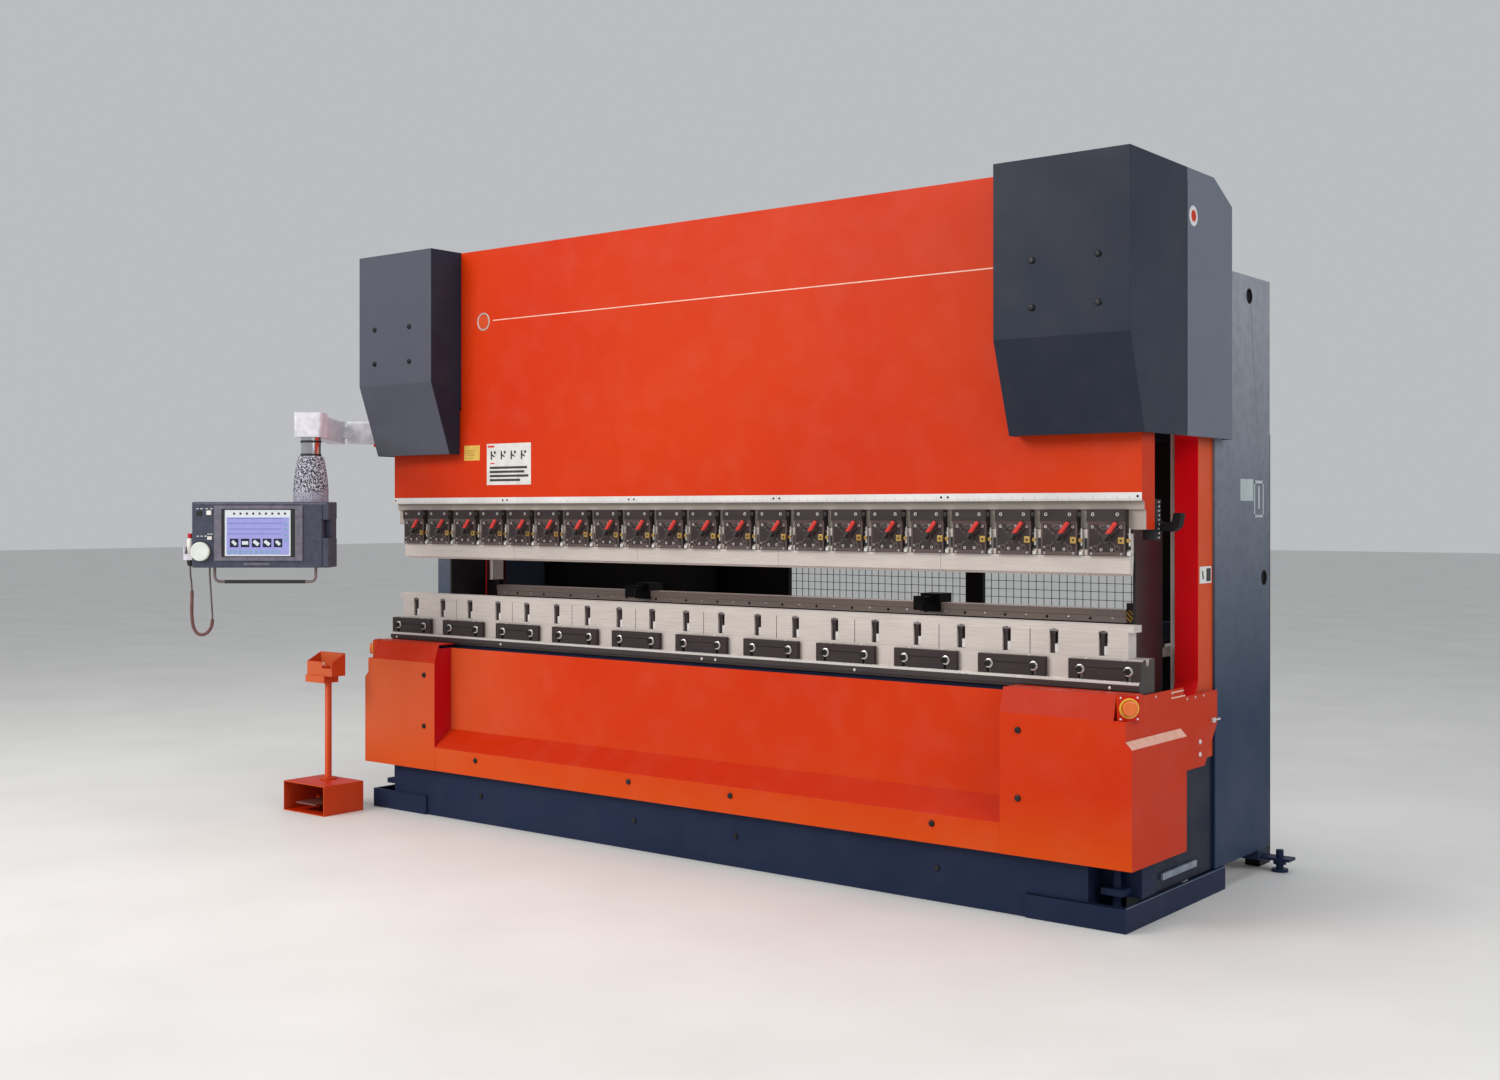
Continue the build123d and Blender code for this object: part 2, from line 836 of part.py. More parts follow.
def cover_rear_outline(inset):
    foot = cover_bottom - (5 if inset else 0)
    return [
        (cover_seam, foot),
        (cover_back - inset, foot),
        (cover_back - inset, cover_chamfer_z - inset / 2),
        (cover_chamfer_y - inset / 2, cover_top - inset),
        (cover_seam, cover_top - inset),
    ]


def cover_shell(outline):
    """Half of the right cylinder cover: a folded sheet, open below and at the seam."""
    shell = side_prism(outline(0), cover_inner, cover_outer)
    shell -= side_prism(outline(sheet), cover_inner + sheet, cover_outer - sheet)
    ram_y = (ram_front - 5, ram_front + ram_plate + 5)
    way = (cover_bottom - 1, ram_shoulder_z + 15)
    return shell - block((cover_inner - 1, cover_inner + sheet + 1), ram_y, way)


def rear_cover(side):
    """The right (1) or left (-1) rear cover, with its slots for the frame and casings."""
    shell = cover_shell(cover_rear_outline)
    frame_x = (frame_inner - 3, frame_inner + frame_thick + side_panel_thick + 3)
    shell -= block(frame_x, (cover_back - sheet - 1, cover_back + 1), (cover_bottom - 1, frame_top + 3))
    if side > 0:
        return shell
    wall = (cover_outer - sheet - 1, cover_outer + 1)
    cabinet = (throat_back - 3, cover_back + 1)
    shell -= block(wall, cabinet, (cover_bottom - 1, cabinet_top + 3))
    back = (frame_inner, cover_outer + 1)
    shell -= block(back, (cover_back - sheet - 1, cover_back + 1), (cover_bottom - 1, cabinet_top + 3))
    return shell.mirror(Plane.YZ)


def left_front_cover():
    """The left front cover also lets the pendant's bracket through its side."""
    shell = cover_shell(cover_front_outline).mirror(Plane.YZ)
    side = (-cover_outer - 1, -cover_outer + sheet + 1)
    return shell - block(side, (128, 192), (1943, 2027))


def ram_guides():
    """Guide rails behind the ram, steel strips in the throats, and the scale brackets."""
    half = 40
    middle = frame_inner + frame_thick / 2
    back = ram_front + ram_plate
    rail_y = (back + gap, frame_arm_front)
    rail = block((middle - half, middle + half), rail_y, (throat_top, frame_top))
    strip_y = (throat_back + 22, throat_back + 102)
    strip = block((frame_inner - 27, frame_inner), strip_y, (throat_bottom, throat_top))
    return [both(rail), both(strip), both(scale_bracket())]


def scale_bracket():
    """The C-shaped plate that carries the ram's position scale free of the frame."""
    bed_back = bed_front + bed_plate
    plate_y = (215, 466)
    outline_y = (bed_back, plate_y[1])
    bracket = block((1990, 2002), outline_y, (700, 1500))
    inner = block((1990, 2002), (bed_back, plate_y[0]), (bed_top, 1420))
    inner = round_at(inner, plate_y[0], bed_top, 60)
    inner = round_at(inner, plate_y[0], 1420, 60)
    bracket = round_at(bracket, plate_y[1], 700, 150)
    return bracket - inner - block((1990, 2002), (bed_back, bed_back + 12), (bed_top, 1501))


# ---------------------------------------------------------------- backgauge
def gauge_slide():
    """The right slide that the backgauge runs on, fixed to the frame's inner face."""
    rail = block(slide_x, slide_y, slide_z)
    return rail + block((slide_x[1], frame_inner), (620, 900), (slide_z[0], slide_z[1] - 22))


def gauge_carriages():
    """Both carriages and the shaft that joins them."""
    base_top = slide_z[1] + 40
    y = (gauge_front - 6, gauge_front + gauge_deep + 14)
    side = block((slide_x[0] - 5, slide_x[1] + 5), (y[0], y[1] + 50), (slide_z[1] + gap, base_top))
    for x0, x1 in ((slide_x[0] - 5, slide_x[0] - gap), (slide_x[1] + gap, slide_x[1] + 5)):
        side += block((x0, x1), y, (slide_z[1] - 15, base_top))
    side += block(tower_x, y, (base_top, tower_top))
    middle = gauge_front + gauge_deep / 2
    slot_y = (middle - tongue_half - gap, middle + tongue_half + gap)
    side -= block((tower_x[0], gauge_half + tongue + 2), slot_y, (slide_z[1] + 15, tower_top))
    shaft_x = slide_x[0] + 10
    shaft = along_x(y[1] + 28, slide_z[1] + 20, 15, -shaft_x, shaft_x)
    return side + side.mirror(Plane.YZ) + shaft


def gauge_beam():
    """The cross beam, with a tongue at each end that rises in its carriage."""
    low, high = gauge_z
    split = (low + high) / 2
    back = gauge_front + gauge_deep
    beam = block((-gauge_half, gauge_half), (gauge_front, back), (split, high))
    beam += block((-gauge_half, gauge_half), (gauge_front + 4, back), (low, split))
    middle = gauge_front + gauge_deep / 2
    reach = gauge_half + tongue
    return beam + block((-reach, reach), (middle - tongue_half, middle + tongue_half), gauge_z)


def gauge_finger(x):
    """A stop that slides along the beam: its saddle, arm and stop tip."""
    back = gauge_front + gauge_deep
    top = gauge_z[1]
    span = (x - finger_half, x + finger_half)
    saddle_y = (gauge_front - 10, back + 10)
    finger = block(span, saddle_y, (top + gap, top + 40))
    for y in ((saddle_y[0], gauge_front - gap), (back + gap, saddle_y[1])):
        finger += block(span, y, (top - 40, top + 40))
    finger += block((x - 20, x + 20), (finger_tip, gauge_front), (top + 8, top + 28))
    finger += block((x - 25, x + 25), (finger_tip, finger_tip + 14), (die_top, top + 32))
    return finger


# ---------------------------------------------------------------- casings and rear guard
def side_panel():
    """The right side sheet, with openings round the frame's holes."""
    outer = frame_inner + frame_thick
    x = (outer, outer + side_panel_thick)
    panel = block(x, (side_panel_front, frame_back), (frame_bottom, frame_top))
    for place in (lift_hole, cable_hole):
        panel -= along_x(*place, lift_hole_r + 3, *x)
    return panel


def electrical_cabinet():
    """The cabinet on the left frame, open to the left, with its mounting plate."""
    inner = -(frame_inner + frame_thick)
    outer = -cabinet_outer
    y = (throat_back, frame_back)
    z = (frame_bottom, cabinet_top)
    shell = block((outer, inner), y, z)
    wall = sheet
    inside_y = (y[0] + wall, y[1] - wall)
    inside_z = (z[0] + wall, z[1] - wall)
    shell -= block((outer, inner - wall), inside_y, inside_z)
    mounting = (y[0] + 80, y[1] - 80)
    return shell + block((inner - wall - 40, inner - wall), mounting, (300, cabinet_top - 200))


def cabinet_door():
    outer = -cabinet_outer - gap
    y = (throat_back, frame_back - 14)
    return block((outer - door_thick, outer), y, (frame_bottom, cabinet_top))


def guard_bay(x0, x1, y0, y1, z0, z1):
    """A mesh panel with its frame: the mesh is one thin plate here."""
    tube = 30
    bay = block((x0, x1), (y0, y1), (z0, z1))
    bay -= block((x0 + tube, x1 - tube), (y0, y1), (z0 + tube, z1 - tube))
    middle = (y0 + y1) / 2
    mesh = (middle - mesh_thick / 2, middle + mesh_thick / 2)
    return bay + block((x0 + tube, x1 - tube), mesh, (z0 + tube, z1 - tube))


def rear_guard():
    """The posts and rails behind the machine, with the two fixed mesh bays."""
    half = guard_post / 2
    outer = block((frame_inner, frame_inner + guard_post), (frame_back, guard_y[1]), (0, guard_height))
    posts = both(outer)
    posts += [block((x - half, x + half), guard_y, (0, guard_height)) for x in
              (-guard_post_x, guard_post_x)]
    rails = block((-frame_inner, frame_inner), guard_y, (guard_height, guard_height + 40))
    bays = [
        guard_bay(-frame_inner, -guard_post_x - half, *guard_y, 60, guard_height),
        guard_bay(-guard_post_x + half, guard_post_x - half, *guard_y, 60, guard_height),
    ]
    return posts + bays + [rails - posts[2] - posts[3]]


def guard_door():
    """The mesh door of the right bay, hung behind the outer post."""
    y = guard_y[1] + gap
    return guard_bay(guard_post_x - 10, frame_inner + 4, y, y + 20, 60, guard_height - 10)


# ---------------------------------------------------------------- small fasteners
def button_screw(x, z, face):
    """A button-head screw on a front face."""
    head = along_y(x, z, screw_r, face - screw_proud, face)
    return fillet(head.edges().group_by(Axis.Y)[0], screw_proud - 2)


def panel_screws():
    """The screws of the covers, the end casings, the ledge and the plinth."""
    screws = []
    for side in (-1, 1):
        for x in cover_screw_x:
            screws += [button_screw(side * x, z, cover_front) for z in cover_screw_z]
        screws += [button_screw(side * box_screw_x, z, box_front) for z in box_screw_z]
        for x in panel_screw_x:
            screws.append(button_screw(side * x, ledge_screw_z, box_front))
            screws.append(button_screw(side * x, plinth_screw_z, plinth_front))
    return screws


# ---------------------------------------------------------------- pendant
def pendant_place():
    """The pendant's own frame: X along its face, Y away from the operator, Z up."""
    return Pos(*arm_head, 0) * Rot(0, 0, pendant_angle)


def arm_between(start, end, from_start, to_end):
    """A straight arm of full height between two pivots, short of each by a length."""
    dx, dy = end[0] - start[0], end[1] - start[1]
    length = math.hypot(dx, dy)
    turn = math.degrees(math.atan2(dy, dx))
    bar = block((from_start, length - to_end), (-arm_half, arm_half), arm_z)
    return Pos(*start, 0) * Rot(0, 0, turn) * fillet(bar.edges().filter_by(Axis.X), 12)


def arm_reach(start, end, length, z):
    """A flat tongue or ear from a pivot towards the other end of its arm."""
    dx, dy = end[0] - start[0], end[1] - start[1]
    turn = math.degrees(math.atan2(dy, dx))
    return Pos(*start, 0) * Rot(0, 0, turn) * block((0, length), (-arm_half, arm_half), z)


def arm_inner():
    """The short arm: a knuckle on the bracket's pin, and a tongue at the elbow."""
    tongue_z = (arm_z[0] + ear_thick + gap, arm_z[1] - ear_thick - gap)
    arm = arm_between(arm_root, arm_elbow, 0, arm_start)
    arm += upright(*arm_root, arm_half, *arm_z)
    arm += arm_reach(arm_elbow, arm_root, arm_start, tongue_z)
    arm += upright(*arm_elbow, arm_half, *tongue_z)
    arm -= upright(*arm_elbow, pin_r, *tongue_z)
    return arm + upright(*arm_root, pin_r - fit, arm_z[0] - 14, arm_z[1] + 14)


def arm_outer():
    """The long arm: a fork round the elbow's tongue, and the head over the pendant."""
    arm = arm_between(arm_elbow, arm_head, arm_start, 0)
    for z in ((arm_z[0], arm_z[0] + ear_thick), (arm_z[1] - ear_thick, arm_z[1])):
        arm += upright(*arm_elbow, arm_half, *z)
        arm += arm_reach(arm_elbow, arm_head, arm_start, z)
    arm += upright(*arm_elbow, pin_r - fit, *arm_z)
    head = block((-head_half, head_half), (-head_half, head_half), arm_z)
    head = fillet(head.edges().filter_by(Axis.Z), 14)
    arm += pendant_place() * head
    return arm - upright(*arm_head, spindle_r + fit, arm_z[0], arm_z[0] + 70)


def pendant_case():
    """The operator's console: spindle, post, cone, housing and the grip below it."""
    case = block(case_u, case_w, case_z)
    case = fillet(case.edges().filter_by(Axis.Y), 10)
    case -= along_y(knob_u, knob_z, 5 + fit, case_w[0], case_w[0] + 30)
    neck = upright(0, 0, post_r, post_bottom - 5, arm_z[0] - gap)
    neck += upright(0, 0, spindle_r, arm_z[0] - gap, arm_z[0] + 66)
    cone = Cone(cone_r[1], cone_r[0], post_bottom - cone_bottom)
    neck += Pos(0, 0, (post_bottom + cone_bottom) / 2) * cone
    neck += upright(0, 0, cone_r[1] - 2, case_z[1], cone_bottom)
    grip = along_x(case_w[0] + 40, grip_z, grip_r, *grip_u)
    for u in grip_u:
        grip += upright(u, case_w[0] + 40, grip_r, grip_z, case_z[0])
        grip += Pos(u, case_w[0] + 40, grip_z) * Sphere(grip_r)
    cradle = block(cradle_u, (stylus_w - 26, stylus_w + 26), cradle_z)
    cradle -= upright(stylus_u, stylus_w, stylus_r + 1, *cradle_z)
    return pendant_place() * (case + neck + grip + cradle)


def pendant_knob():
    """The round hand dial at the lower left of the console."""
    face = case_w[0] - gap
    knob = along_y(knob_u, knob_z, knob_r, face - knob_thick, face)
    knob = fillet(knob.edges().group_by(Axis.Y)[0], 5)
    return pendant_place() * (knob + along_y(knob_u, knob_z, 5, face, case_w[0] + 28))


def stylus():
    """The touch pen, standing in its cradle at the console's left side."""
    body = upright(stylus_u, stylus_w, stylus_r, *stylus_z)
    body = chamfer(body.edges(), 3)
    collar = upright(stylus_u, stylus_w, stylus_r + 3, cradle_z[1], cradle_z[1] + 6)
    return pendant_place() * (body + collar)


# The stylus cord hangs in one limp loop from the pen's foot to the console's underside.
# Its points are in the console's own frame: along the face, away from the face, up.
stylus_cord_route = [
    (stylus_u, stylus_w, stylus_z[0]),
    (stylus_u, stylus_w, 1252.0),
    (stylus_u + 7, stylus_w - 1, 1206.0),
    (stylus_u + 10, stylus_w - 3, 1152.0),
    (stylus_u + 8, stylus_w - 4, 1092.0),
    (stylus_u + 9, stylus_w - 4, 1036.0),
    (stylus_u + 17, stylus_w - 3, 985.0),
    (stylus_u + 42, stylus_w - 2, 953.0),
    (stylus_u + 80, stylus_w + 1, 960.0),
    (stylus_u + 104, stylus_w + 4, 993.0),
    (stylus_u + 107, stylus_w + 7, 1040.0),
    (stylus_u + 102, stylus_w + 10, 1094.0),
    (stylus_u + 98, stylus_w + 12, 1150.0),
    (stylus_u + 94, stylus_w + 13, 1204.0),
    (stylus_u + 91, stylus_w + 13, 1250.0),
    (stylus_u + 91, stylus_w + 13, case_z[0]),
]


def corner_radii(points):
    """0.45 of the shorter run at each corner, over the tangent of half the turn."""
    places = [Vector(*point) for point in points]
    radii = []
    for before, corner, after in zip(places, places[1:], places[2:]):
        run_in, run_out = corner - before, after - corner
        shorter = min(run_in.length, run_out.length)
        half_turn = math.radians(run_in.get_angle(run_out)) / 2
        radii.append(0.45 * shorter / math.tan(half_turn))
    return radii


def stylus_cord():
    radii = corner_radii(stylus_cord_route)
    path = FilletPolyline(*stylus_cord_route, radius=radii)
    tube = sweep(Plane(path @ 0, z_dir=path % 0) * Circle(cord_r), path=path)
    section = math.pi * cord_r**2
    print("stylus cord radii", [round(radius) for radius in radii])
    print("stylus cord volume", round(tube.volume), "section x length", round(section * path.length))
    print("stylus cord length", round(path.length))
    return pendant_place() * tube


# ---------------------------------------------------------------- foot switch stand
def foot_stand():
    """The free-standing stand: a hood open at the front, a post and a switch head."""
    x, y = stand_post
    wall = stand_sheet
    base = block(stand_x, stand_y, (0, stand_height))
    hollow_x = (stand_x[0] + wall, stand_x[1] - wall)
    hollow_y = (stand_y[0], stand_y[1] - wall)
    base -= block(hollow_x, hollow_y, (wall, stand_height - wall))
    for x0, x1 in ((hollow_x[0], pedal_x[0] - gap), (pedal_x[1] + gap, pedal_x[1] + 30)):
        ear_x = (x0, x1) if x0 > hollow_x[0] else (pedal_x[0] - 30, x1)
        ear = block(ear_x, (pedal_hinge_y - 14, pedal_hinge_y + 14), (wall, pedal_z + 14))
        base += ear - along_x(pedal_hinge_y, pedal_z, pedal_pin_r + fit, *ear_x)
    post = upright(x, y, stand_post_r, stand_height + 8, stand_lip_z[0])
    post += upright(x, y, 45, stand_height, stand_height + 8)
    return [base, post, switch_head()]


def switch_head():
    """The head on the post: a tray-topped box on a folded lip."""
    x0, x1 = stand_head_x
    y0, y1 = stand_head_y
    lip = block((x0 - 8, stand_post[0] + 30), (y0 - 6, y1), stand_lip_z)
    outline = [
        (y0, stand_lip_z[1]),
        (y1, stand_lip_z[1]),
        (y1, stand_head_back),
        (y0, stand_head_front),
    ]
    head = side_prism(outline, x0, x1)
    wall = stand_sheet
    floor = stand_lip_z[1] + 40
    head -= block((x0 + wall, x1 - wall), (y0 + wall, y1 - wall), (floor, stand_head_back))
    head -= block((stand_button_x + 60, x1 - wall), (y0, y0 + wall), (floor, stand_head_back))
    hole = upright(stand_button_x, (y0 + y1) / 2, 7 + fit, floor - 30, floor)
    return lip + head - hole


def stand_button():
    """The pale mushroom button in the head's tray."""
    y = sum(stand_head_y) / 2
    floor = stand_lip_z[1] + 40
    stem = upright(stand_button_x, y, 7, floor - 20, floor + 10)
    cap = upright(stand_button_x, y, stand_button_r, floor + 10, floor + 24)
    return stem + fillet(cap.edges().group_by(Axis.Z)[-1], 6)


def foot_pedal():
    """The treadle under the hood, hinged at its back edge."""
    tread = block(pedal_x, (pedal_front, pedal_hinge_y), (pedal_z - 4, pedal_z + 4))
    tread += along_x(pedal_hinge_y, pedal_z, 12, *pedal_x)
    return tread + along_x(pedal_hinge_y, pedal_z, pedal_pin_r, pedal_x[0] - 28, pedal_x[1] + 28)


# ---------------------------------------------------------------- every node, saved
save("side_frames", both(side_frame()), cross_ties(), arm_bracket())
save("bed_beam", bed_beam())
save("plinth", plinth(), both(floor_tray()),
     [both(piece) for piece in rear_foot() + front_foot()])
save("bed_end_boxes", bed_end_box(), left_end_box(), both(stop_station()))
save("bed_front_panel", bed_front_panel())
save("table_rails", table_rails())
save("lower_clamps", clamp_bars())
save("bolts_and_screws", clamp_bolts(), panel_screws())
save("die_risers", die_risers())
save("die_rail", die_rail())
save("cylinder_covers", cover_shell(cover_front_outline), left_front_cover(),
     rear_cover(1), rear_cover(-1))
save("cylinders", both(cylinder()))
save("ram_guides", ram_guides(), both(gauge_slide()))
save("side_casings", side_panel(), electrical_cabinet())
save("rear_guard", rear_guard())
save("hydraulic_unit", hydraulic_unit())
save("cabinet_door", cabinet_door())
save("guard_door", guard_door())

save("ram", ram())
save("ram_scale", ram_scale())
save("punch_holders", [punch_holder(x) for x in spread(holder_count, holder_pitch)])
save("brass_bolts", brass_bolts())
save("punches", punches())
save("piston_rods", both(piston_rod()))
for number, lever_x in enumerate(spread(holder_count, holder_pitch), start=1):
    save(f"clamp_lever_{number:02d}", clamp_lever(lever_x))

save("gauge_carriages", gauge_carriages())
save("gauge_beam", gauge_beam())
save("gauge_finger_left", gauge_finger(finger_x[0]))
save("gauge_finger_right", gauge_finger(finger_x[1]))

save("stop_button_left", stop_button(-1))
save("stop_button_right", stop_button(1))

save("pendant_arm_inner", arm_inner())
save("pendant_arm_outer", arm_outer())
save("pendant_case", pendant_case())
save("pendant_knob", pendant_knob())
save("stylus", stylus())
save("stylus_cord", stylus_cord())

save("foot_stand", foot_stand())
save("foot_stand_button", stand_button())
save("foot_pedal", foot_pedal())
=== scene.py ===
import math

import bmesh
import bpy
from mathutils import Matrix, Vector


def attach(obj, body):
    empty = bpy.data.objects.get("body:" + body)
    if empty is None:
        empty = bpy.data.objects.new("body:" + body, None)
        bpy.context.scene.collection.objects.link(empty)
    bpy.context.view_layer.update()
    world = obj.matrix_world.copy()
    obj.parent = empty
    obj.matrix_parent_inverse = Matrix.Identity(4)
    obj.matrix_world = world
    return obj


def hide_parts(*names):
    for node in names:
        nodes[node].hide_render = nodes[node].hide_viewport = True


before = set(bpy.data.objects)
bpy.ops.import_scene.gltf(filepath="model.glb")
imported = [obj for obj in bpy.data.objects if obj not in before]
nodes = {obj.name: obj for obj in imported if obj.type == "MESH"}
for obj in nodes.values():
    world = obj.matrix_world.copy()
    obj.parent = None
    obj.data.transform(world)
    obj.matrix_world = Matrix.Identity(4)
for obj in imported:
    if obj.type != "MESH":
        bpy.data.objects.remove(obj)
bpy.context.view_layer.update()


# ---- camera
cam_data = bpy.data.cameras.new("camera")
cam = bpy.data.objects.new("camera", cam_data)
bpy.context.scene.collection.objects.link(cam)
cam.location = (4.801, -5.793, 1.557)
cam.rotation_euler = (math.radians(90), 0, math.radians(38.2))
cam_data.sensor_width = 36
cam_data.lens = 39.4
cam_data.shift_y = -0.0187
cam_data.clip_end = 100
bpy.context.scene.camera = cam


# ---- material helpers
def srgb(r, g, b):
    """A linear colour from 0-255 display values."""
    out = []
    for value in (r, g, b):
        v = value / 255
        out.append(v / 12.92 if v <= 0.04045 else ((v + 0.055) / 1.055) ** 2.4)
    return (*out, 1.0)


class Mat:
    """A node material being built: a Principled surface with object coordinates."""

    def __init__(self, name, rough=0.5, metal=0.0, **sockets):
        self.mat = bpy.data.materials.new(name)
        self.mat.use_nodes = True
        self.tree = self.mat.node_tree
        self.shader = self.tree.nodes["Principled BSDF"]
        self.shader.inputs["Roughness"].default_value = rough
        self.shader.inputs["Metallic"].default_value = metal
        for key, value in sockets.items():
            self.shader.inputs[key.replace("_", " ")].default_value = value
        self.coords = self.tree.nodes.new("ShaderNodeTexCoord").outputs["Object"]

    def node(self, kind, **inputs):
        made = self.tree.nodes.new(kind)
        for key, value in inputs.items():
            self.put(made.inputs[key.replace("_", " ")], value)
        return made

    def put(self, socket, value):
        if isinstance(value, bpy.types.NodeSocket):
            self.tree.links.new(value, socket)
        else:
            socket.default_value = value

    def stretched(self, scale):
        made = self.node("ShaderNodeMapping", Vector=self.coords, Scale=scale)
        return made.outputs["Vector"]

    def noise(self, scale, detail=3.0, stretch=None):
        place = self.stretched(stretch) if stretch else self.coords
        made = self.node("ShaderNodeTexNoise", Vector=place, Scale=scale, Detail=detail)
        return made.outputs["Fac"]

    def ramp(self, value, low, high, start=0.0, end=1.0):
        """Maps a value between start and end to low and high, clamped."""
        made = self.node("ShaderNodeMapRange")
        self.put(made.inputs["Value"], value)
        for name, number in (("From Min", start), ("From Max", end), ("To Min", low), ("To Max", high)):
            made.inputs[name].default_value = number
        return made.outputs["Result"]

    def math(self, operation, a, b=0.5):
        made = self.tree.nodes.new("ShaderNodeMath")
        made.operation = operation
        self.put(made.inputs[0], a)
        self.put(made.inputs[1], b)
        return made.outputs[0]

    def above(self, a, b):
        return self.math("GREATER_THAN", a, b)

    def below(self, a, b):
        return self.math("LESS_THAN", a, b)

    def times(self, a, b):
        return self.math("MULTIPLY", a, b)

    def absolute(self, a):
        return self.math("ABSOLUTE", a, 0.0)

    def mix(self, factor, a, b):
        """Mixes two colours; each is a socket or three 0-255 display values."""
        made = self.tree.nodes.new("ShaderNodeMix")
        made.data_type = "RGBA"
        self.put(made.inputs["Factor"], factor)
        for socket, colour in (("A", a), ("B", b)):
            self.put(made.inputs[socket], srgb(*colour) if isinstance(colour, tuple) else colour)
        return made.outputs["Result"]

    def axis(self, letter):
        made = self.node("ShaderNodeSeparateXYZ", Vector=self.coords)
        return made.outputs[letter]

    def normal(self, letter):
        geometry = self.tree.nodes.new("ShaderNodeNewGeometry")
        made = self.node("ShaderNodeSeparateXYZ", Vector=geometry.outputs["True Normal"])
        return made.outputs[letter]

    def finish(self, colour=None, rough=None, height=None, strength=0.2, distance=0.001):
        if colour is not None:
            self.put(self.shader.inputs["Base Color"], colour)
        if rough is not None:
            self.put(self.shader.inputs["Roughness"], rough)
        if height is not None:
            bump = self.node("ShaderNodeBump", Height=height)
            bump.inputs["Strength"].default_value = strength
            bump.inputs["Distance"].default_value = distance
            self.put(self.shader.inputs["Normal"], bump.outputs["Normal"])
        return self.mat


def paint(name, base, deep, rough=0.44, peel=260.0, bump=0.12, shine=0.13, dust=0.02, patches=()):
    """Sprayed paint: slow drift of tone, fine orange peel and thin dust.
    patches are (mask function, colour) pairs painted over the base."""
    m = Mat(name, rough=rough, Specular_IOR_Level=shine)
    drift = m.ramp(m.noise(0.7, 2.0), 0.0, 1.0, 0.35, 0.68)
    colour = m.mix(drift, base, deep)
    for mask, other in patches:
        colour = m.mix(mask(m), colour, other)
    film = m.ramp(m.noise(7.0, 8.0), 0.0, dust, 0.45, 0.75)
    colour = m.mix(film, colour, (215, 205, 195))
    uneven = m.ramp(m.noise(3.0, 5.0), rough - 0.04, rough + 0.06, 0.3, 0.7)
    return m.finish(colour, uneven, m.noise(peel, 2.0), bump, 0.0006)


def steel(name, base, deep, rough=0.34, metal=0.85, grain=(2.0, 260.0, 260.0), bump=0.1, patches=()):
    """Ground or brushed steel: long grain and oil stains."""
    m = Mat(name, rough=rough, metal=metal)
    lines = m.noise(4.0, 5.0, grain)
    stain = m.ramp(m.noise(5.5, 6.0), 0.0, 1.0, 0.4, 0.72)
    colour = m.mix(m.ramp(lines, 0.0, 1.0, 0.3, 0.7), base, deep)
    colour = m.mix(m.times(stain, 0.25), colour, deep)
    for mask, other in patches:
        colour = m.mix(mask(m), colour, other)
    uneven = m.ramp(m.noise(9.0, 6.0, (0.6, 2.0, 2.0)), rough - 0.06, rough + 0.1, 0.3, 0.7)
    return m.finish(colour, uneven, lines, bump, 0.0004)


# ---- the materials
ORANGE = (208, 56, 2)
ORANGE_DEEP = (200, 46, 2)
# deep red for the throat's front faces: painted shade
THROAT_SHADE_RED = (250, 8, 30)


def pale_end(m):
    """The sheen that pales the left end of the long front faces."""
    return m.times(m.ramp(m.axis("X"), 1.0, 0.0, -2.3, -0.9), 0.8)


def east_face_shade(m):
    """Faces turned to the right end, painted browner as painted shade."""
    return m.times(m.above(m.normal("X"), 0.6), 0.7)


def upward(m):
    """Sloping tops, darkened with painted shade."""
    return m.above(m.normal("Z"), 0.04)


def glow(m):
    """The warm light along the foot of the front faces."""
    front = m.below(m.normal("Y"), -0.9)
    return m.times(m.ramp(m.axis("Z"), 0.8, 0.0, 0.22, 0.5), front)


# colours painted over the orange as light and shade: a sheen, shade on slopes, warm light low down and shade
# on right-facing faces
SALMON = (206, 104, 62)
SHADED = (186, 40, 0)
AMBER = (210, 78, 6)
EAST_SHADE_RED = (180, 42, 0)
FRONT_LIGHT_AND_SHADE = [(pale_end, SALMON), (east_face_shade, EAST_SHADE_RED), (upward, SHADED), (glow, AMBER)]
orange = paint("orange_paint", ORANGE, ORANGE_DEEP, patches=FRONT_LIGHT_AND_SHADE)


def recess_wall_shade(m):
    """The end boxes' walls beside the recessed panel, painted deep red as painted shade."""
    near = m.below(m.absolute(m.axis("X")), 1.6446)
    side = m.above(m.absolute(m.normal("X")), 0.5)
    return m.times(near, side)


def bare_lip(m):
    """The machined rebates along the ram's lower front edge."""
    low = m.below(m.axis("Z"), 1.6003)
    front = m.below(m.axis("Y"), 0.03)
    side = m.below(m.absolute(m.normal("X")), 0.5)
    return m.times(m.times(low, front), side)


# the end boxes take the same painted light and shade, plus painted shade on the recess walls
box_orange = paint("box_orange", ORANGE, ORANGE_DEEP, patches=[*FRONT_LIGHT_AND_SHADE, (recess_wall_shade, (176, 10, 18))])
# the ram gets painted shade on its right-facing faces; its rebates are bare steel
ram_orange = paint("ram_orange", ORANGE, (200, 46, 8),
                   patches=[(east_face_shade, EAST_SHADE_RED), (bare_lip, (168, 158, 150))])


def frame_paint():
    """Orange outside, with deep red on the throat's front faces and dark inside the machine, both painted
    shade.
    """
    m = Mat("frame_red", rough=0.44, Specular_IOR_Level=0.13)
    drift = m.ramp(m.noise(1.1, 3.0), 0.0, 1.0, 0.35, 0.65)
    side = m.mix(drift, (206, 84, 42), (192, 68, 34))
    # forward-facing faces: deep red, a painted shade
    front = m.mix(drift, THROAT_SHADE_RED, (214, 20, 22))
    facing = m.above(m.absolute(m.normal("X")), 0.5)
    colour = m.mix(facing, front, side)
    # inner faces darkened: painted shade inside the machine
    inside = m.below(m.absolute(m.axis("X")), 2.0345)
    colour = m.mix(m.times(inside, facing), colour, (70, 22, 20))
    colour = m.mix(m.below(m.axis("Z"), 0.56), colour, (22, 30, 48))
    behind = m.above(m.axis("Y"), 0.66)
    colour = m.mix(behind, colour, (48, 56, 70))
    return m.finish(colour, m.ramp(m.noise(6.0, 4.0), 0.34, 0.5, 0.3, 0.7), m.noise(220.0), 0.12, 0.0006)


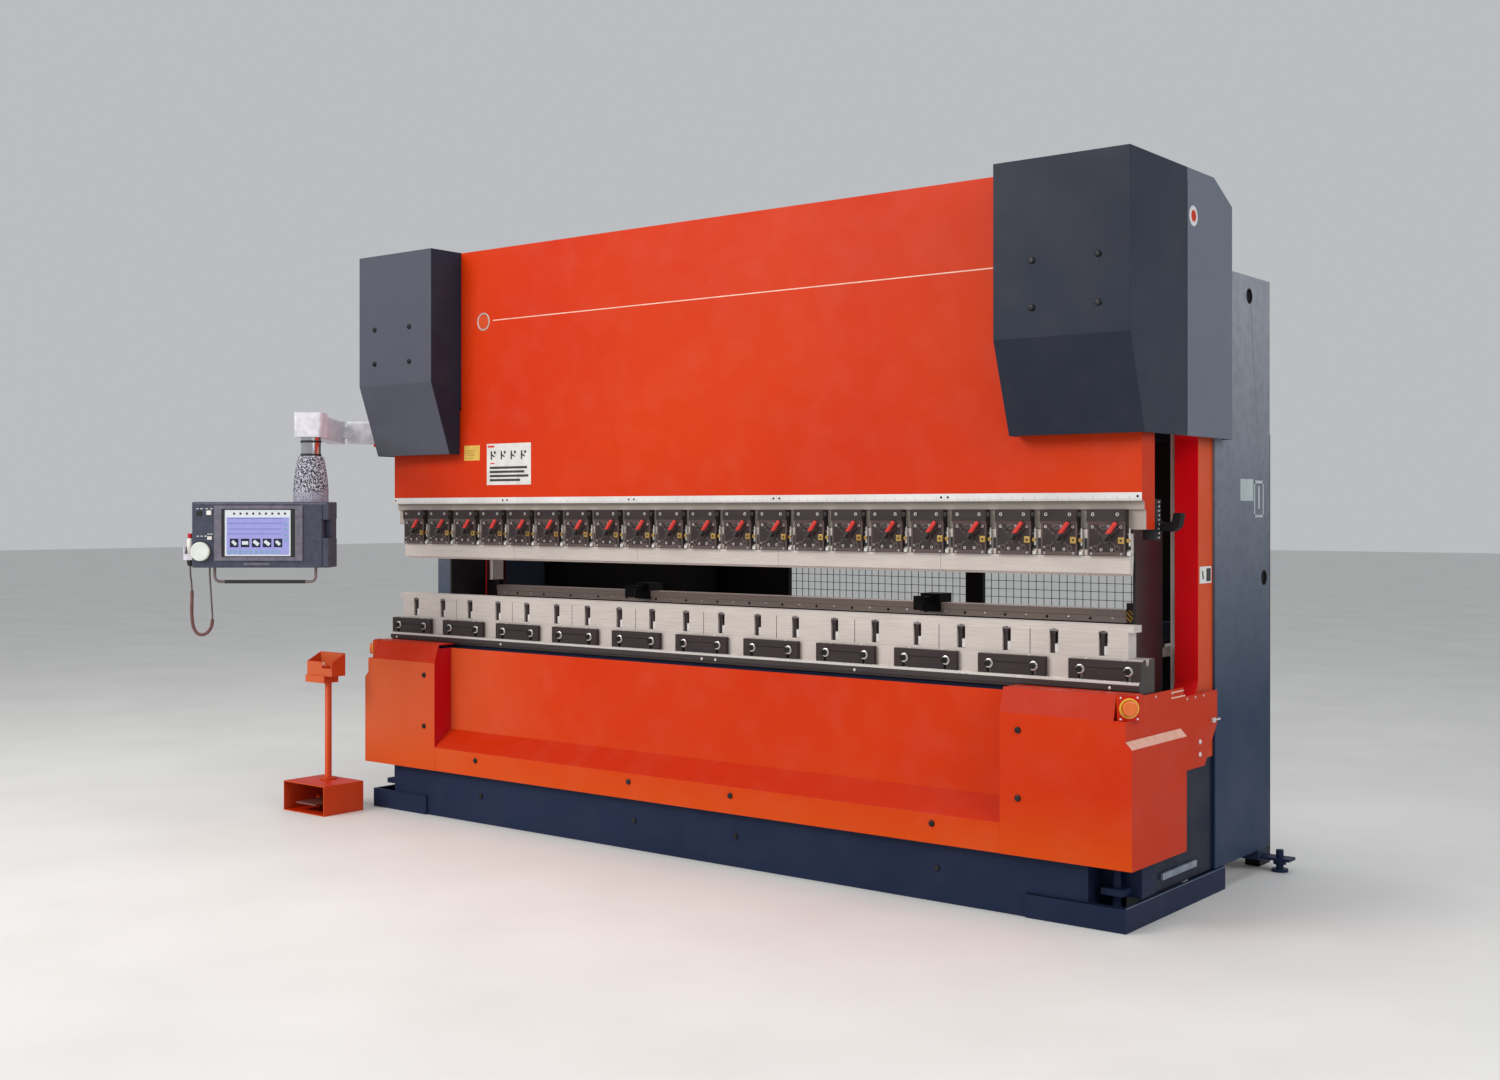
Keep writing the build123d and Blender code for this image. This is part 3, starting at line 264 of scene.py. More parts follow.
def grey_panel():
    """Blue-grey hammered paint, painted paler towards the top and darker low down as painted light."""
    m = Mat("grey_paint", rough=0.46, Specular_IOR_Level=0.15)
    # painted light: pale high up, dark near the floor
    top_light = m.ramp(m.axis("Z"), 0.0, 1.0, 0.7, 2.4)
    colour = m.mix(top_light, (30, 50, 78), (140, 144, 152))
    colour = m.mix(m.ramp(m.noise(22.0, 5.0), 0.0, 0.18, 0.4, 0.7), colour, (30, 36, 48))
    return m.finish(colour, m.ramp(m.noise(5.0, 5.0), 0.36, 0.5, 0.3, 0.7), m.noise(300.0, 2.0), 0.16, 0.0006)


def scale_paint():
    """The pale ruler with its fine tick marks, longer every tenth."""
    m = Mat("scale_aluminium", rough=0.45, metal=0.1)
    x = m.math("ADD", m.axis("X"), 10.0)
    fine = m.below(m.math("MODULO", x, 0.005), 0.0011)
    long = m.below(m.math("MODULO", x, 0.05), 0.0016)
    low = m.below(m.axis("Z"), 1.6085)
    mid = m.below(m.axis("Z"), 1.6155)
    ticks = m.math("MAXIMUM", m.times(fine, low), m.times(long, mid))
    base = m.mix(m.ramp(m.noise(3.0, 5.0), 0.0, 1.0, 0.35, 0.7), (226, 224, 222), (206, 202, 200))
    colour = m.mix(m.times(ticks, 0.75), base, (60, 58, 60))
    return m.finish(colour, m.ramp(m.noise(30.0, 4.0), 0.38, 0.55), m.noise(400.0, 2.0), 0.05, 0.0004)


def lever_paint():
    """A red grip on a dark arm."""
    m = Mat("lever_red", rough=0.32, Coat_Weight=0.3, Coat_Roughness=0.15)
    grip = m.above(m.axis("Z"), 1.4745)
    red = m.mix(m.noise(40.0, 4.0), (226, 52, 34), (196, 30, 22))
    colour = m.mix(grip, (46, 40, 40), red)
    return m.finish(colour, m.ramp(m.noise(60.0, 4.0), 0.26, 0.42), m.noise(700.0, 2.0), 0.06, 0.0003)


def hard(name, base, deep, rough=0.45, metal=0.0, scale=60.0, bump=0.08, coat=0.0):
    """A plain moulded or machined finish with fine texture and slight drift."""
    m = Mat(name, rough=rough, metal=metal, Coat_Weight=coat)
    colour = m.mix(m.ramp(m.noise(scale * 0.3, 5.0), 0.0, 1.0, 0.35, 0.68), base, deep)
    uneven = m.ramp(m.noise(scale * 0.6, 4.0), rough - 0.06, rough + 0.08, 0.3, 0.7)
    return m.finish(colour, uneven, m.noise(scale * 8, 2.0), bump, 0.0004)


def speckle(name, base, spots, rough=0.7):
    """Coarse wrinkle paint, pale grains in dark."""
    m = Mat(name, rough=rough)
    grains = m.noise(150.0, 2.0)
    colour = m.mix(m.ramp(grains, 0.0, 1.0, 0.47, 0.56), base, spots)
    return m.finish(colour, rough, grains, 0.6, 0.0015)


frame_red = frame_paint()
navy = paint("navy_paint", (30, 42, 70), (25, 36, 62), rough=0.5, dust=0.008)


def left_cover_light(m):
    """The left cover, painted paler on its front faces as painted light."""
    return m.times(m.below(m.axis("X"), 0.0), m.below(m.normal("Y"), -0.9))


def rear_half_reflection(m):
    """The right cover's rear half, painted paler as a painted reflection of the pale side of the room."""
    side = m.above(m.normal("X"), 0.9)
    return m.times(m.times(m.above(m.axis("Y"), 0.263), side), 0.8)


# charcoal with painted light on the left cover and a painted reflection on the right cover's rear half
charcoal = paint("charcoal_paint", (38, 44, 58), (32, 37, 50), rough=0.42, peel=420.0,
                 bump=0.2, shine=0.15, dust=0.01,
                 patches=[(left_cover_light, (80, 82, 94)), (rear_half_reflection, (108, 114, 126))])
grey = grey_panel()
ruler = scale_paint()
lever_red = lever_paint()
die_steel = steel("die_steel", (222, 212, 205), (190, 180, 173), metal=0.35)
bright_steel = steel("bright_steel", (236, 230, 226), (210, 204, 200), rough=0.26, metal=0.6)
beam_steel = steel("beam_steel", (206, 190, 180), (176, 160, 150), metal=0.2)


def between_holders(m):
    """The pale faces of the links between the dark clamp bodies."""
    place = m.math("MODULO", m.math("ADD", m.axis("X"), 10.1), 0.2)
    away = m.absolute(m.math("SUBTRACT", place, 0.1))
    return m.above(away, 0.0793)


holder_dark = steel("holder_steel", (66, 54, 53), (42, 34, 35), rough=0.36, metal=0.4,
                    patches=[(between_holders, (206, 196, 188))])
holder_light = steel("holder_relief", (112, 94, 90), (74, 62, 62), rough=0.34, metal=0.4)
clamp_steel = steel("clamp_steel", (70, 56, 56), (44, 36, 38), rough=0.36, metal=0.5)


def holder_block(m):
    """The pale block above the dark rail, but for its ends."""
    above = m.above(m.axis("Z"), 0.9168)
    return m.times(above, m.below(m.absolute(m.normal("X")), 0.5))


rail_steel = steel("rail_steel", (84, 72, 70), (54, 46, 48), rough=0.4, metal=0.5,
                   patches=[(holder_block, (206, 196, 190))])
pedal_steel = steel("pedal_steel", (150, 92, 84), (96, 60, 56), rough=0.45, metal=0.4)


def is_bracket(m):
    """The dark scale brackets among the bright guides."""
    x = m.absolute(m.axis("X"))
    return m.times(m.above(x, 1.985), m.below(x, 2.0035))


guides = steel("guides", (240, 230, 222), (214, 204, 196), metal=0.2, grain=(260.0, 260.0, 2.0),
               patches=[(is_bracket, (38, 32, 34))])
screw_steel = hard("screw_steel", (150, 144, 142), (92, 88, 90), rough=0.3, metal=0.7)
dark_screw = hard("dark_screw", (52, 50, 52), (28, 28, 30), rough=0.3, metal=0.8)
cast = hard("cast_iron", (58, 60, 62), (40, 42, 44), rough=0.6, metal=0.3, scale=30.0, bump=0.3)
brass = hard("brass", (214, 178, 104), (176, 136, 70), rough=0.28, metal=0.9)
chrome = hard("chrome", (205, 205, 208), (180, 180, 184), rough=0.12, metal=1.0)
black = paint("black_paint", (24, 24, 26), (20, 20, 22), rough=0.5, dust=0.003)
# black for plastic parts, and for painted shade in holes, slots and grooves
black_plastic = hard("black_plastic", (28, 28, 30), (18, 18, 20), rough=0.5)
white = hard("white_plastic", (235, 232, 224), (218, 214, 204), rough=0.42)
knob_pale = hard("knob_pale", (222, 228, 220), (204, 212, 204), rough=0.35)
cord_brown = hard("cord_rubber", (92, 78, 76), (70, 58, 58), rough=0.55, scale=120.0)
sleeve_brown = hard("sleeve", (112, 72, 70), (88, 54, 54), rough=0.6, scale=120.0)
pendant_grey = hard("pendant_paint", (224, 222, 230), (196, 194, 204), rough=0.5, scale=90.0, bump=0.2)
case_blue = hard("case_paint", (62, 66, 84), (50, 54, 72), rough=0.5, scale=110.0, bump=0.3)
bezel_grey = hard("bezel", (112, 108, 122), (90, 88, 102), rough=0.45, scale=110.0, bump=0.2)
yellow = hard("yellow", (232, 176, 40), (214, 150, 30), rough=0.35, coat=0.3)
stop_orange = hard("stop_orange", (226, 110, 30), (206, 84, 22), rough=0.28, coat=0.4)
bar_brown = hard("grip_bar", (128, 112, 110), (100, 86, 84), rough=0.4)
cone_grain = speckle("cone_grain", (34, 34, 42), (190, 190, 204))
label_white = hard("label_white", (222, 220, 216), (204, 202, 198), rough=0.5)
label_yellow = hard("label_yellow", (222, 184, 84), (204, 164, 70), rough=0.5)
stripe = hard("pinstripe", (238, 196, 176), (226, 176, 154), rough=0.5)


def assign(material, *names):
    for name in names:
        for slot in nodes[name].material_slots:
            slot.material = material


assign(frame_red, "side_frames")
assign(navy, "bed_beam", "plinth")
assign(orange, "bed_front_panel", "foot_stand")
assign(box_orange, "bed_end_boxes")
assign(ram_orange, "ram")
assign(rail_steel, "table_rails")
assign(pedal_steel, "foot_pedal")
assign(clamp_steel, "lower_clamps", "gauge_carriages")
assign(holder_dark, "punch_holders")
assign(dark_screw, "bolts_and_screws")
assign(die_steel, "die_risers", "die_rail", "punches")
assign(charcoal, "cylinder_covers")
assign(cast, "cylinders")
assign(guides, "ram_guides")
assign(black, "gauge_finger_left", "gauge_finger_right")
assign(beam_steel, "gauge_beam")
assign(grey, "side_casings", "cabinet_door")
assign(black, "rear_guard", "hydraulic_unit", "guard_door")
assign(ruler, "ram_scale")
assign(brass, "brass_bolts")
assign(chrome, "piston_rods")
assign(stop_orange, "stop_button_left", "stop_button_right")
assign(pendant_grey, "pendant_arm_inner", "pendant_arm_outer", "pendant_case")
assign(knob_pale, "pendant_knob")
assign(white, "stylus", "foot_stand_button")
assign(cord_brown, "stylus_cord")
assign(lever_red, *[f"clamp_lever_{i:02d}" for i in range(1, 22)])


# ---- mesh helpers
def add(name, data):
    """A new object in the scene."""
    made = bpy.data.objects.new(name, data)
    bpy.context.scene.collection.objects.link(made)
    return made


def bevel_edges(piece, width, segments, limit):
    """Bevels the edges sharper than a limit in degrees."""
    mod = piece.modifiers.new("bevel", "BEVEL")
    mod.width = width
    mod.segments = segments
    mod.limit_method = "ANGLE"
    mod.angle_limit = math.radians(limit)
    mod.harden_normals = True


class Shape:
    """Boxes, rods, prisms, turned forms and tubes gathered into one piece."""

    def __init__(self, place=None):
        self.bm = bmesh.new()
        self.place = place or Matrix()

    def box(self, x, y, z, turn=None):
        """A box from its lowest and highest X, Y and Z; turn is a matrix about its middle."""
        size = [abs(b - a) for a, b in (x, y, z)]
        middle = Vector([(a + b) / 2 for a, b in (x, y, z)])
        m = Matrix.Translation(middle) @ (turn or Matrix()) @ Matrix.Diagonal((*size, 1))
        bmesh.ops.create_cube(self.bm, size=1, matrix=m)
        return self

    def rod(self, centre, axis, radius, depth, sides=24, top=None):
        """A cylinder or cone about its centre, along an axis."""
        turn = Vector(axis).to_track_quat("Z", "Y").to_matrix().to_4x4()
        m = Matrix.Translation(Vector(centre)) @ turn
        bmesh.ops.create_cone(
            self.bm, cap_ends=True, segments=sides, radius1=radius,
            radius2=radius if top is None else top, depth=depth, matrix=m)
        return self

    def prism(self, outline, low, high, axis="Y"):
        """An outline pulled along Y from (X, Z) points, or along X from (Y, Z) points."""
        if axis == "Y":
            base = [self.bm.verts.new((a, low, b)) for a, b in outline]
            step = Vector((0, high - low, 0))
        elif axis == "X":
            base = [self.bm.verts.new((low, a, b)) for a, b in outline]
            step = Vector((high - low, 0, 0))
        else:
            base = [self.bm.verts.new((a, b, low)) for a, b in outline]
            step = Vector((0, 0, high - low))
        face = self.bm.faces.new(base)
        pulled = bmesh.ops.extrude_face_region(self.bm, geom=[face])
        moved = [v for v in pulled["geom"] if isinstance(v, bmesh.types.BMVert)]
        bmesh.ops.translate(self.bm, verts=moved, vec=step)
        return self

    def skin(self, loops, capped=True):
        """Quads from each loop to the next, and a face on either end."""
        for low, high in zip(loops, loops[1:]):
            for i in range(len(low)):
                j = (i + 1) % len(low)
                self.bm.faces.new((low[i], low[j], high[j], high[i]))
        if capped:
            self.bm.faces.new(loops[0][::-1])
            self.bm.faces.new(loops[-1])
        return self

    def lathe(self, profile, centre, axis=(0, 0, 1), sides=40, hollow=False):
        """A turned form from (radius, height) points; hollow joins its last point to its first."""
        turn = Vector(axis).to_track_quat("Z", "Y").to_matrix().to_4x4()
        m = Matrix.Translation(Vector(centre)) @ turn
        rings = []
        for radius, height in profile:
            ring = []
            for i in range(sides):
                a = 2 * math.pi * i / sides
                point = Vector((radius * math.cos(a), radius * math.sin(a), height))
                ring.append(self.bm.verts.new(m @ point))
            rings.append(ring)
        return self.skin(rings + rings[:1], False) if hollow else self.skin(rings)

    def holed_plate(self, half_x, half_z, radius, low, high, sides=48):
        """A rectangular plate in X and Z with a round opening through its middle, from low to high Y."""
        corner = math.atan2(half_z, half_x)
        angles = sorted([2 * math.pi * i / sides for i in range(sides)]
                        + [corner, math.pi - corner, math.pi + corner, 2 * math.pi - corner])
        loops = []
        for y, outer in ((low, True), (high, True), (high, False), (low, False)):
            loop = []
            for a in angles:
                c, s = math.cos(a), math.sin(a)
                reach = min(half_x / max(abs(c), 1e-9), half_z / max(abs(s), 1e-9)) if outer else radius
                loop.append(self.bm.verts.new((reach * c, y, reach * s)))
            loops.append(loop)
        return self.skin(loops + loops[:1], False)

    def tube(self, path, radius, sides=12):
        """A round tube through points."""
        points = [Vector(p) for p in path]
        rings, up = [], None
        for i, p in enumerate(points):
            ahead = points[min(i + 1, len(points) - 1)] - points[max(i - 1, 0)]
            ahead.normalize()
            if up is None:
                up = ahead.orthogonal().normalized()
            up = (up - ahead * up.dot(ahead)).normalized()
            across = ahead.cross(up)
            ring = []
            for k in range(sides):
                a = 2 * math.pi * k / sides
                ring.append(self.bm.verts.new(p + radius * (math.cos(a) * up + math.sin(a) * across)))
            rings.append(ring)
        return self.skin(rings)

    def done(self, name, material, body, bevel=0.0006, slot=None, segments=2):
        bmesh.ops.recalc_face_normals(self.bm, faces=self.bm.faces)
        self.bm.transform(self.place)
        mesh = bpy.data.meshes.new(name)
        self.bm.to_mesh(mesh)
        self.bm.free()
        for polygon in mesh.polygons:
            polygon.use_smooth = True
        mesh.set_sharp_from_angle(angle=math.radians(35))
        mesh.materials.append(material)
        piece = add(name, mesh)
        if bevel:
            bevel_edges(piece, bevel, segments, 40)
        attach(piece, body)
        return piece


FORWARD = (0, -1, 0)          # out of the machine's front face


def turned(degrees, axis):
    return Matrix.Rotation(math.radians(degrees), 4, axis)


# ---- soft edges on the CAD pieces
def soften(name, width):
    """Rounds a CAD node's long edges, so that they catch the light."""
    piece = nodes[name]
    weld = piece.modifiers.new("weld", "WELD")
    weld.merge_threshold = 0.00005
    bevel_edges(piece, width, 2, 45)


for name, width in (
    ("ram", 0.003), ("bed_front_panel", 0.0015), ("bed_end_boxes", 0.002),
    ("cylinder_covers", 0.0018), ("side_frames", 0.003), ("side_casings", 0.002), ("lower_clamps", 0.0015),
    ("punch_holders", 0.0012), ("punches", 0.0006), ("die_risers", 0.001), ("table_rails", 0.001),
    ("foot_stand", 0.0012), ("pendant_arm_outer", 0.003), ("pendant_arm_inner", 0.003),
    ("gauge_beam", 0.0012), ("gauge_carriages", 0.0012), ("cabinet_door", 0.002), ("bed_beam", 0.002),
):
    soften(name, width)


# ---- pendant console
pendant = Matrix.Translation((-1.911, -0.767, 0)) @ turned(38.2, "Z")
FACE = -0.1                 # front of the console's face, in its own frame


def pendant_shape():
    return Shape(pendant)


case = pendant_shape()
case.box((-0.554, 0.082), (FACE, 0.06), (1.285, 1.606))
case.box((0.082, 0.114), (FACE, 0.06), (1.285, 1.43))
case.box((0.082, 0.114), (FACE, 0.06), (1.518, 1.606))
case.box((0.082, 0.112), (-0.04, 0.06), (1.428, 1.52))
case_piece = case.done("console_case", case_blue, "pendant", 0.006, "pendant_paint", 3)

bezel = pendant_shape()
for x, z in (((-0.444, -0.408), (1.319, 1.588)), ((-0.049, -0.013), (1.319, 1.588)),
             ((-0.408, -0.049), (1.319, 1.337)), ((-0.408, -0.049), (1.572, 1.588))):
    bezel.box(x, (FACE - 0.006, FACE + 0.004), z)
bezel.box((-0.54, 0.1), (FACE - 0.002, FACE), (1.594, 1.599))
bezel.done("console_bezel", bezel_grey, "pendant", 0.0018, "pendant_paint")

inner = pendant_shape()
for x, z in (((-0.408, -0.393), (1.337, 1.572)), ((-0.072, -0.049), (1.337, 1.572)),
             ((-0.393, -0.072), (1.337, 1.342)), ((-0.393, -0.072), (1.567, 1.572))):
    inner.box(x, (FACE - 0.003, FACE + 0.002), z)
inner.done("console_inner_frame", black_plastic, "pendant", 0.0008, "pendant_paint")


def screen_material():
    m = Mat("screen", rough=0.18, Coat_Weight=0.4)
    m.shader.inputs["Emission Strength"].default_value = 0.25
    fine = m.noise(35.0, 2.0)
    colour = m.mix(fine, (128, 132, 190), (150, 150, 205))
    m.put(m.shader.inputs["Emission Color"], colour)
    return m.finish(colour, m.ramp(m.noise(20.0), 0.14, 0.24), m.noise(300.0), 0.02, 0.0003)


def lit(name, colour, other, strength=0.2):
    m = Mat(name, rough=0.25)
    m.shader.inputs["Emission Strength"].default_value = strength
    tone = m.mix(m.noise(80.0, 3.0), colour, other)
    m.put(m.shader.inputs["Emission Color"], tone)
    return m.finish(tone, m.ramp(m.noise(40.0), 0.2, 0.32), m.noise(300.0), 0.02, 0.0003)


screen_pale = lit("screen_pale", (206, 212, 216), (190, 198, 204))
screen_dark = lit("screen_dark", (22, 24, 48), (30, 32, 60), 0.05)
screen_line = lit("screen_line", (112, 114, 178), (104, 106, 168), 0.15)
screen_green = lit("screen_green", (120, 168, 176), (98, 142, 158), 0.15)
FRONT = FACE - 0.0012
panel = pendant_shape().box((-0.393, -0.072), (FRONT, FACE), (1.342, 1.567))
panel.done("screen_base", screen_pale, "pendant", 0.0004, "pendant_paint")
panel = pendant_shape().box((-0.384, -0.079), (FRONT - 0.0004, FRONT + 0.0004), (1.349, 1.53))
panel.done("screen_area", screen_material(), "pendant", 0.0002, "pendant_paint")
rows = pendant_shape()
for z in (1.5, 1.472, 1.448):
    rows.box((-0.378, -0.116), (FRONT - 0.0008, FRONT), (z, z + 0.0035))
rows.box((-0.378, -0.112), (FRONT - 0.0008, FRONT), (1.524, 1.528))
rows.done("screen_rows", screen_line, "pendant", 0.0001, "pendant_paint")
tiles = pendant_shape()
icons = pendant_shape()
for i in range(5):
    u = -0.368 + i * 0.0535
    tiles.box((u, u + 0.042), (FRONT - 0.0008, FRONT), (1.385, 1.427))
    tilt = turned(45 if i in (0, 4) else (38 if i in (2, 3) else 0), "Y")
    size = 0.013 if i in (0, 4) else 0.015
    icons.box((u + 0.021 - size, u + 0.021 + size), (FRONT - 0.0012, FRONT - 0.0006),
              (1.406 - size * 0.55, 1.406 + size * 0.55), tilt)
tiles.done("screen_tiles", screen_dark, "pendant", 0.0002, "pendant_paint")
icons.done("screen_icons", screen_pale, "pendant", 0.0002, "pendant_paint")
dots = pendant_shape()
for i in range(10):
    dots.rod((-0.37 + i * 0.0262, FRONT - 0.0006, 1.3625), (0, 1, 0), 0.008, 0.0008, 16)
for i, z in enumerate((1.497, 1.474, 1.446, 1.42)):
    dots.rod((-0.096, FRONT - 0.0006, z), (0, 1, 0), 0.006, 0.0008, 14)
dots.done("screen_dots", screen_green, "pendant", 0.0001, "pendant_paint")
marks = pendant_shape()
for i in range(9):
    u = -0.352 + i * 0.031
    marks.box((u, u + 0.01), (FRONT - 0.0006, FRONT), (1.544, 1.554))
marks.done("screen_marks", screen_dark, "pendant", 0.0001, "pendant_paint")

keys = pendant_shape()
keys.box((-0.482, -0.458), (FACE - 0.005, FACE), (1.542, 1.564))
keys.box((-0.478, -0.455), (FACE - 0.005, FACE), (1.421, 1.438))
keys.done("console_keys", white, "pendant", 0.002, "white_plastic")
keys = pendant_shape()
keys.box((-0.531, -0.505), (FACE - 0.004, FACE), (1.54, 1.562))
keys.box((-0.526, -0.51), (FACE - 0.0045, FACE), (1.546, 1.549))
keys.done("console_dark_key", black_plastic, "pendant", 0.002, "black_plastic")
ticks = pendant_shape()
for u, z in ((-0.532, 1.571), (-0.512, 1.571), (-0.486, 1.571), (-0.464, 1.571), (-0.53, 1.437),
             (-0.511, 1.437), (-0.492, 1.437), (-0.478, 1.447), (-0.464, 1.447)):
    ticks.box((u, u + 0.011), (FACE - 0.0008, FACE), (z, z + 0.004))
ticks.done("console_marks", label_white, "pendant", 0.0002, "white_plastic")
ring = pendant_shape()
ring.lathe([(0.05, 0), (0.05, 0.004), (0.047, 0.006), (0.04, 0.006)], (-0.509, FACE, 1.364), FORWARD)
ring.done("knob_ring", black_plastic, "pendant", 0, "black_plastic")
maker = pendant_shape().box((-0.3, -0.176), (FACE - 0.001, FACE), (1.2985, 1.3085))
maker.done("console_strip", bezel_grey, "pendant", 0.0004, "pendant_paint")

post = pendant_shape()
post.lathe([(0.048, 1.826), (0.048, 1.9245)], (0, 0, 0))
post.lathe([(0.03, 1.9245), (0.03, 1.99)], (0, 0, 0))
post.done("console_post", chrome, "pendant", 0, "chrome")
rings = pendant_shape()
for z in (1.833, 1.8975):
    rings.lathe([(0.0482, z), (0.051, z + 0.002), (0.051, z + 0.009), (0.0482, z + 0.011)], (0, 0, 0))
rings.done("console_post_rings", black_plastic, "pendant", 0, "black_plastic")
cone = pendant_shape()
profile = [(0.084, 1.655)]
for i in range(9):
    t = i / 8
    swell = 0.0035 * math.sin(math.pi * t)
    profile.append((0.0845 - 0.0215 * t + swell, 1.661 + 0.163 * t))
profile += [(0.058, 1.83), (0.049, 1.831)]
cone.lathe(profile, (0, 0, 0), sides=56)
cone.done("console_cone", cone_grain, "pendant", 0, "pendant_paint")
collar = pendant_shape()
collar.lathe([(0.078, 1.604), (0.0845, 1.606), (0.0845, 1.655), (0.08, 1.661)], (0, 0, 0), sides=56)
collar.done("console_collar", speckle("collar_grain", (126, 124, 140), (168, 166, 180)), "pendant", 0,
            "pendant_paint")


def bent_bar(points, bend, steps=7):
    """Points of a bar whose corners are rounded by arcs."""
    path = [Vector(points[0])]
    for before, corner, after in zip(points, points[1:], points[2:]):
        a, c, b = Vector(before), Vector(corner), Vector(after)
        start = c + (a - c).normalized() * bend
        end = c + (b - c).normalized() * bend
        for i in range(steps + 1):
            t = i / steps
            path.append((1 - t) ** 2 * start + 2 * t * (1 - t) * c + t * t * end)
    return path + [Vector(points[-1])]


BAR = -0.06
bar = [(-0.455, BAR, 1.287), (-0.455, BAR, 1.2155), (0.04, BAR, 1.2155), (0.04, BAR, 1.287)]
grip = pendant_shape().tube(bent_bar(bar, 0.032), 0.0072, 14)
grip.done("console_grip", bar_brown, "pendant", 0, "pendant_paint")
grip = pendant_shape().tube([(-0.405, BAR, 1.2155), (-0.402, BAR, 1.2155), (-0.013, BAR, 1.2155),
                             (-0.01, BAR, 1.2155)], 0.0088, 20)
grip.done("console_grip_sleeve", black_plastic, "pendant", 0.001, "black_plastic")

cradle = pendant_shape()
cradle.box((-0.6, -0.594), (-0.086, -0.036), (1.322, 1.39))
cradle.box((-0.598, -0.554), (-0.04, -0.034), (1.322, 1.39))
cradle.box((-0.598, -0.554), (-0.088, -0.082), (1.322, 1.352))
cradle.done("stylus_cradle", pendant_grey, "pendant", 0.0015, "pendant_paint")
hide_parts("pendant_case")

PEN = (-0.574, -0.062, 0)
pen = pendant_shape()
pen.lathe([(0.0135, 1.345), (0.0155, 1.35), (0.016, 1.395), (0.0158, 1.42), (0.0135, 1.428)], PEN)
pen.done("stylus_body", white, "pendant", 0, "white_plastic")
pen = pendant_shape()
pen.lathe([(0.01, 1.427), (0.0132, 1.429), (0.013, 1.45), (0.0105, 1.452)], PEN)
pen.done("stylus_cap", hard("stylus_red", (206, 26, 40), (176, 18, 30), rough=0.35, coat=0.3),
                   "pendant", 0, "stop_plastic")
pen = pendant_shape()
pen.lathe([(0.006, 1.29), (0.013, 1.296), (0.0155, 1.306), (0.0158, 1.345), (0.0135, 1.346)], PEN)
pen_foot = pen.done("stylus_foot", black_plastic, "pendant", 0, "black_plastic")
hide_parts("stylus")

# The stylus cord: points in the console's own frame, in metres.
cord_route = [
    (-0.574, -0.062, 1.29), (-0.574, -0.062, 1.252), (-0.567, -0.063, 1.206), (-0.564, -0.065, 1.152),
    (-0.566, -0.066, 1.092), (-0.565, -0.066, 1.036), (-0.557, -0.065, 0.985), (-0.532, -0.064, 0.953),
    (-0.494, -0.061, 0.96), (-0.47, -0.058, 0.993), (-0.467, -0.055, 1.04), (-0.472, -0.052, 1.094),
    (-0.476, -0.05, 1.15), (-0.48, -0.049, 1.204), (-0.483, -0.049, 1.25), (-0.483, -0.049, 1.285),
]


def cord_curve(name, bevel):
    data = bpy.data.curves.new(name, "CURVE")
    data.dimensions = "3D"
    data.bevel_depth = bevel
    data.bevel_resolution = 4
    data.resolution_u = 12
    data.use_fill_caps = True
    spline = data.splines.new("NURBS")
    spline.points.add(len(cord_route) - 1)
    for point, place in zip(spline.points, cord_route):
        point.co = (*(pendant @ Vector(place)), 1)
    spline.order_u = 3
    spline.use_endpoint_u = True
    return add(name, data)


cord = cord_curve("stylus_lead", 0.004)
cord.data.materials.append(cord_brown)
line = cord_curve("stylus_lead_line", 0)
line_mesh = bpy.data.meshes.new_from_object(line)
line_points = [v.co.copy() for v in line_mesh.vertices]
bpy.data.objects.remove(line)
back = pendant.inverted()
middle_u = -0.516
lower = [p for p in line_points if p.z < (1.174 if (back @ p).x < middle_u else 1.034)]
sleeve = Shape().tube(lower, 0.0082, 16)
sleeve_piece = sleeve.done("stylus_lead_sleeve", sleeve_brown, "pendant", 0, "cord_rubber")
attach(cord, "pendant")
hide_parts("stylus_cord")

# ---- punch holders
HOLDERS = [(i - 10) * 0.2 for i in range(21)]
FRONT_Y = -0.038


def holder_faces():
    """The dark relief on each holder: crossed ribs, bosses, foot strip and chamfered ledge."""
    relief = Shape()
    for x in HOLDERS:
        for sx in (-1, 1):
            for sz, z in ((1, 1.487), (-1, 1.424)):
                tilt = turned(sx * sz * -42, "Y")
                relief.box((x + sx * 0.04 - 0.028, x + sx * 0.04 + 0.028), (FRONT_Y - 0.002, FRONT_Y + 0.002),
                           (z - 0.0028, z + 0.0028), tilt)
            relief.rod((x + sx * 0.046, FRONT_Y - 0.0012, 1.4165), (0, 1, 0), 0.0135, 0.004, 22)
            relief.box((x + sx * 0.074 - 0.004, x + sx * 0.074 + 0.004), (FRONT_Y - 0.0015, FRONT_Y + 0.002),
                       (1.404, 1.516))
        relief.rod((x, FRONT_Y - 0.001, 1.455), (0, 1, 0), 0.0185, 0.006, 26)
        relief.box((x - 0.078, x + 0.078), (FRONT_Y - 0.0022, FRONT_Y + 0.002), (1.3905, 1.4035))
        relief.box((x - 0.03, x + 0.026), (FRONT_Y - 0.0016, FRONT_Y + 0.002), (1.489, 1.512))
        outline = [(FRONT_Y, 1.508), (FRONT_Y - 0.009, 1.5215), (FRONT_Y, 1.5215)]
        relief.prism(outline, x - 0.0785, x + 0.0785, "X")
    return relief.done("holder_relief", holder_light, "ram_body", 0.0007, "holder_steel")


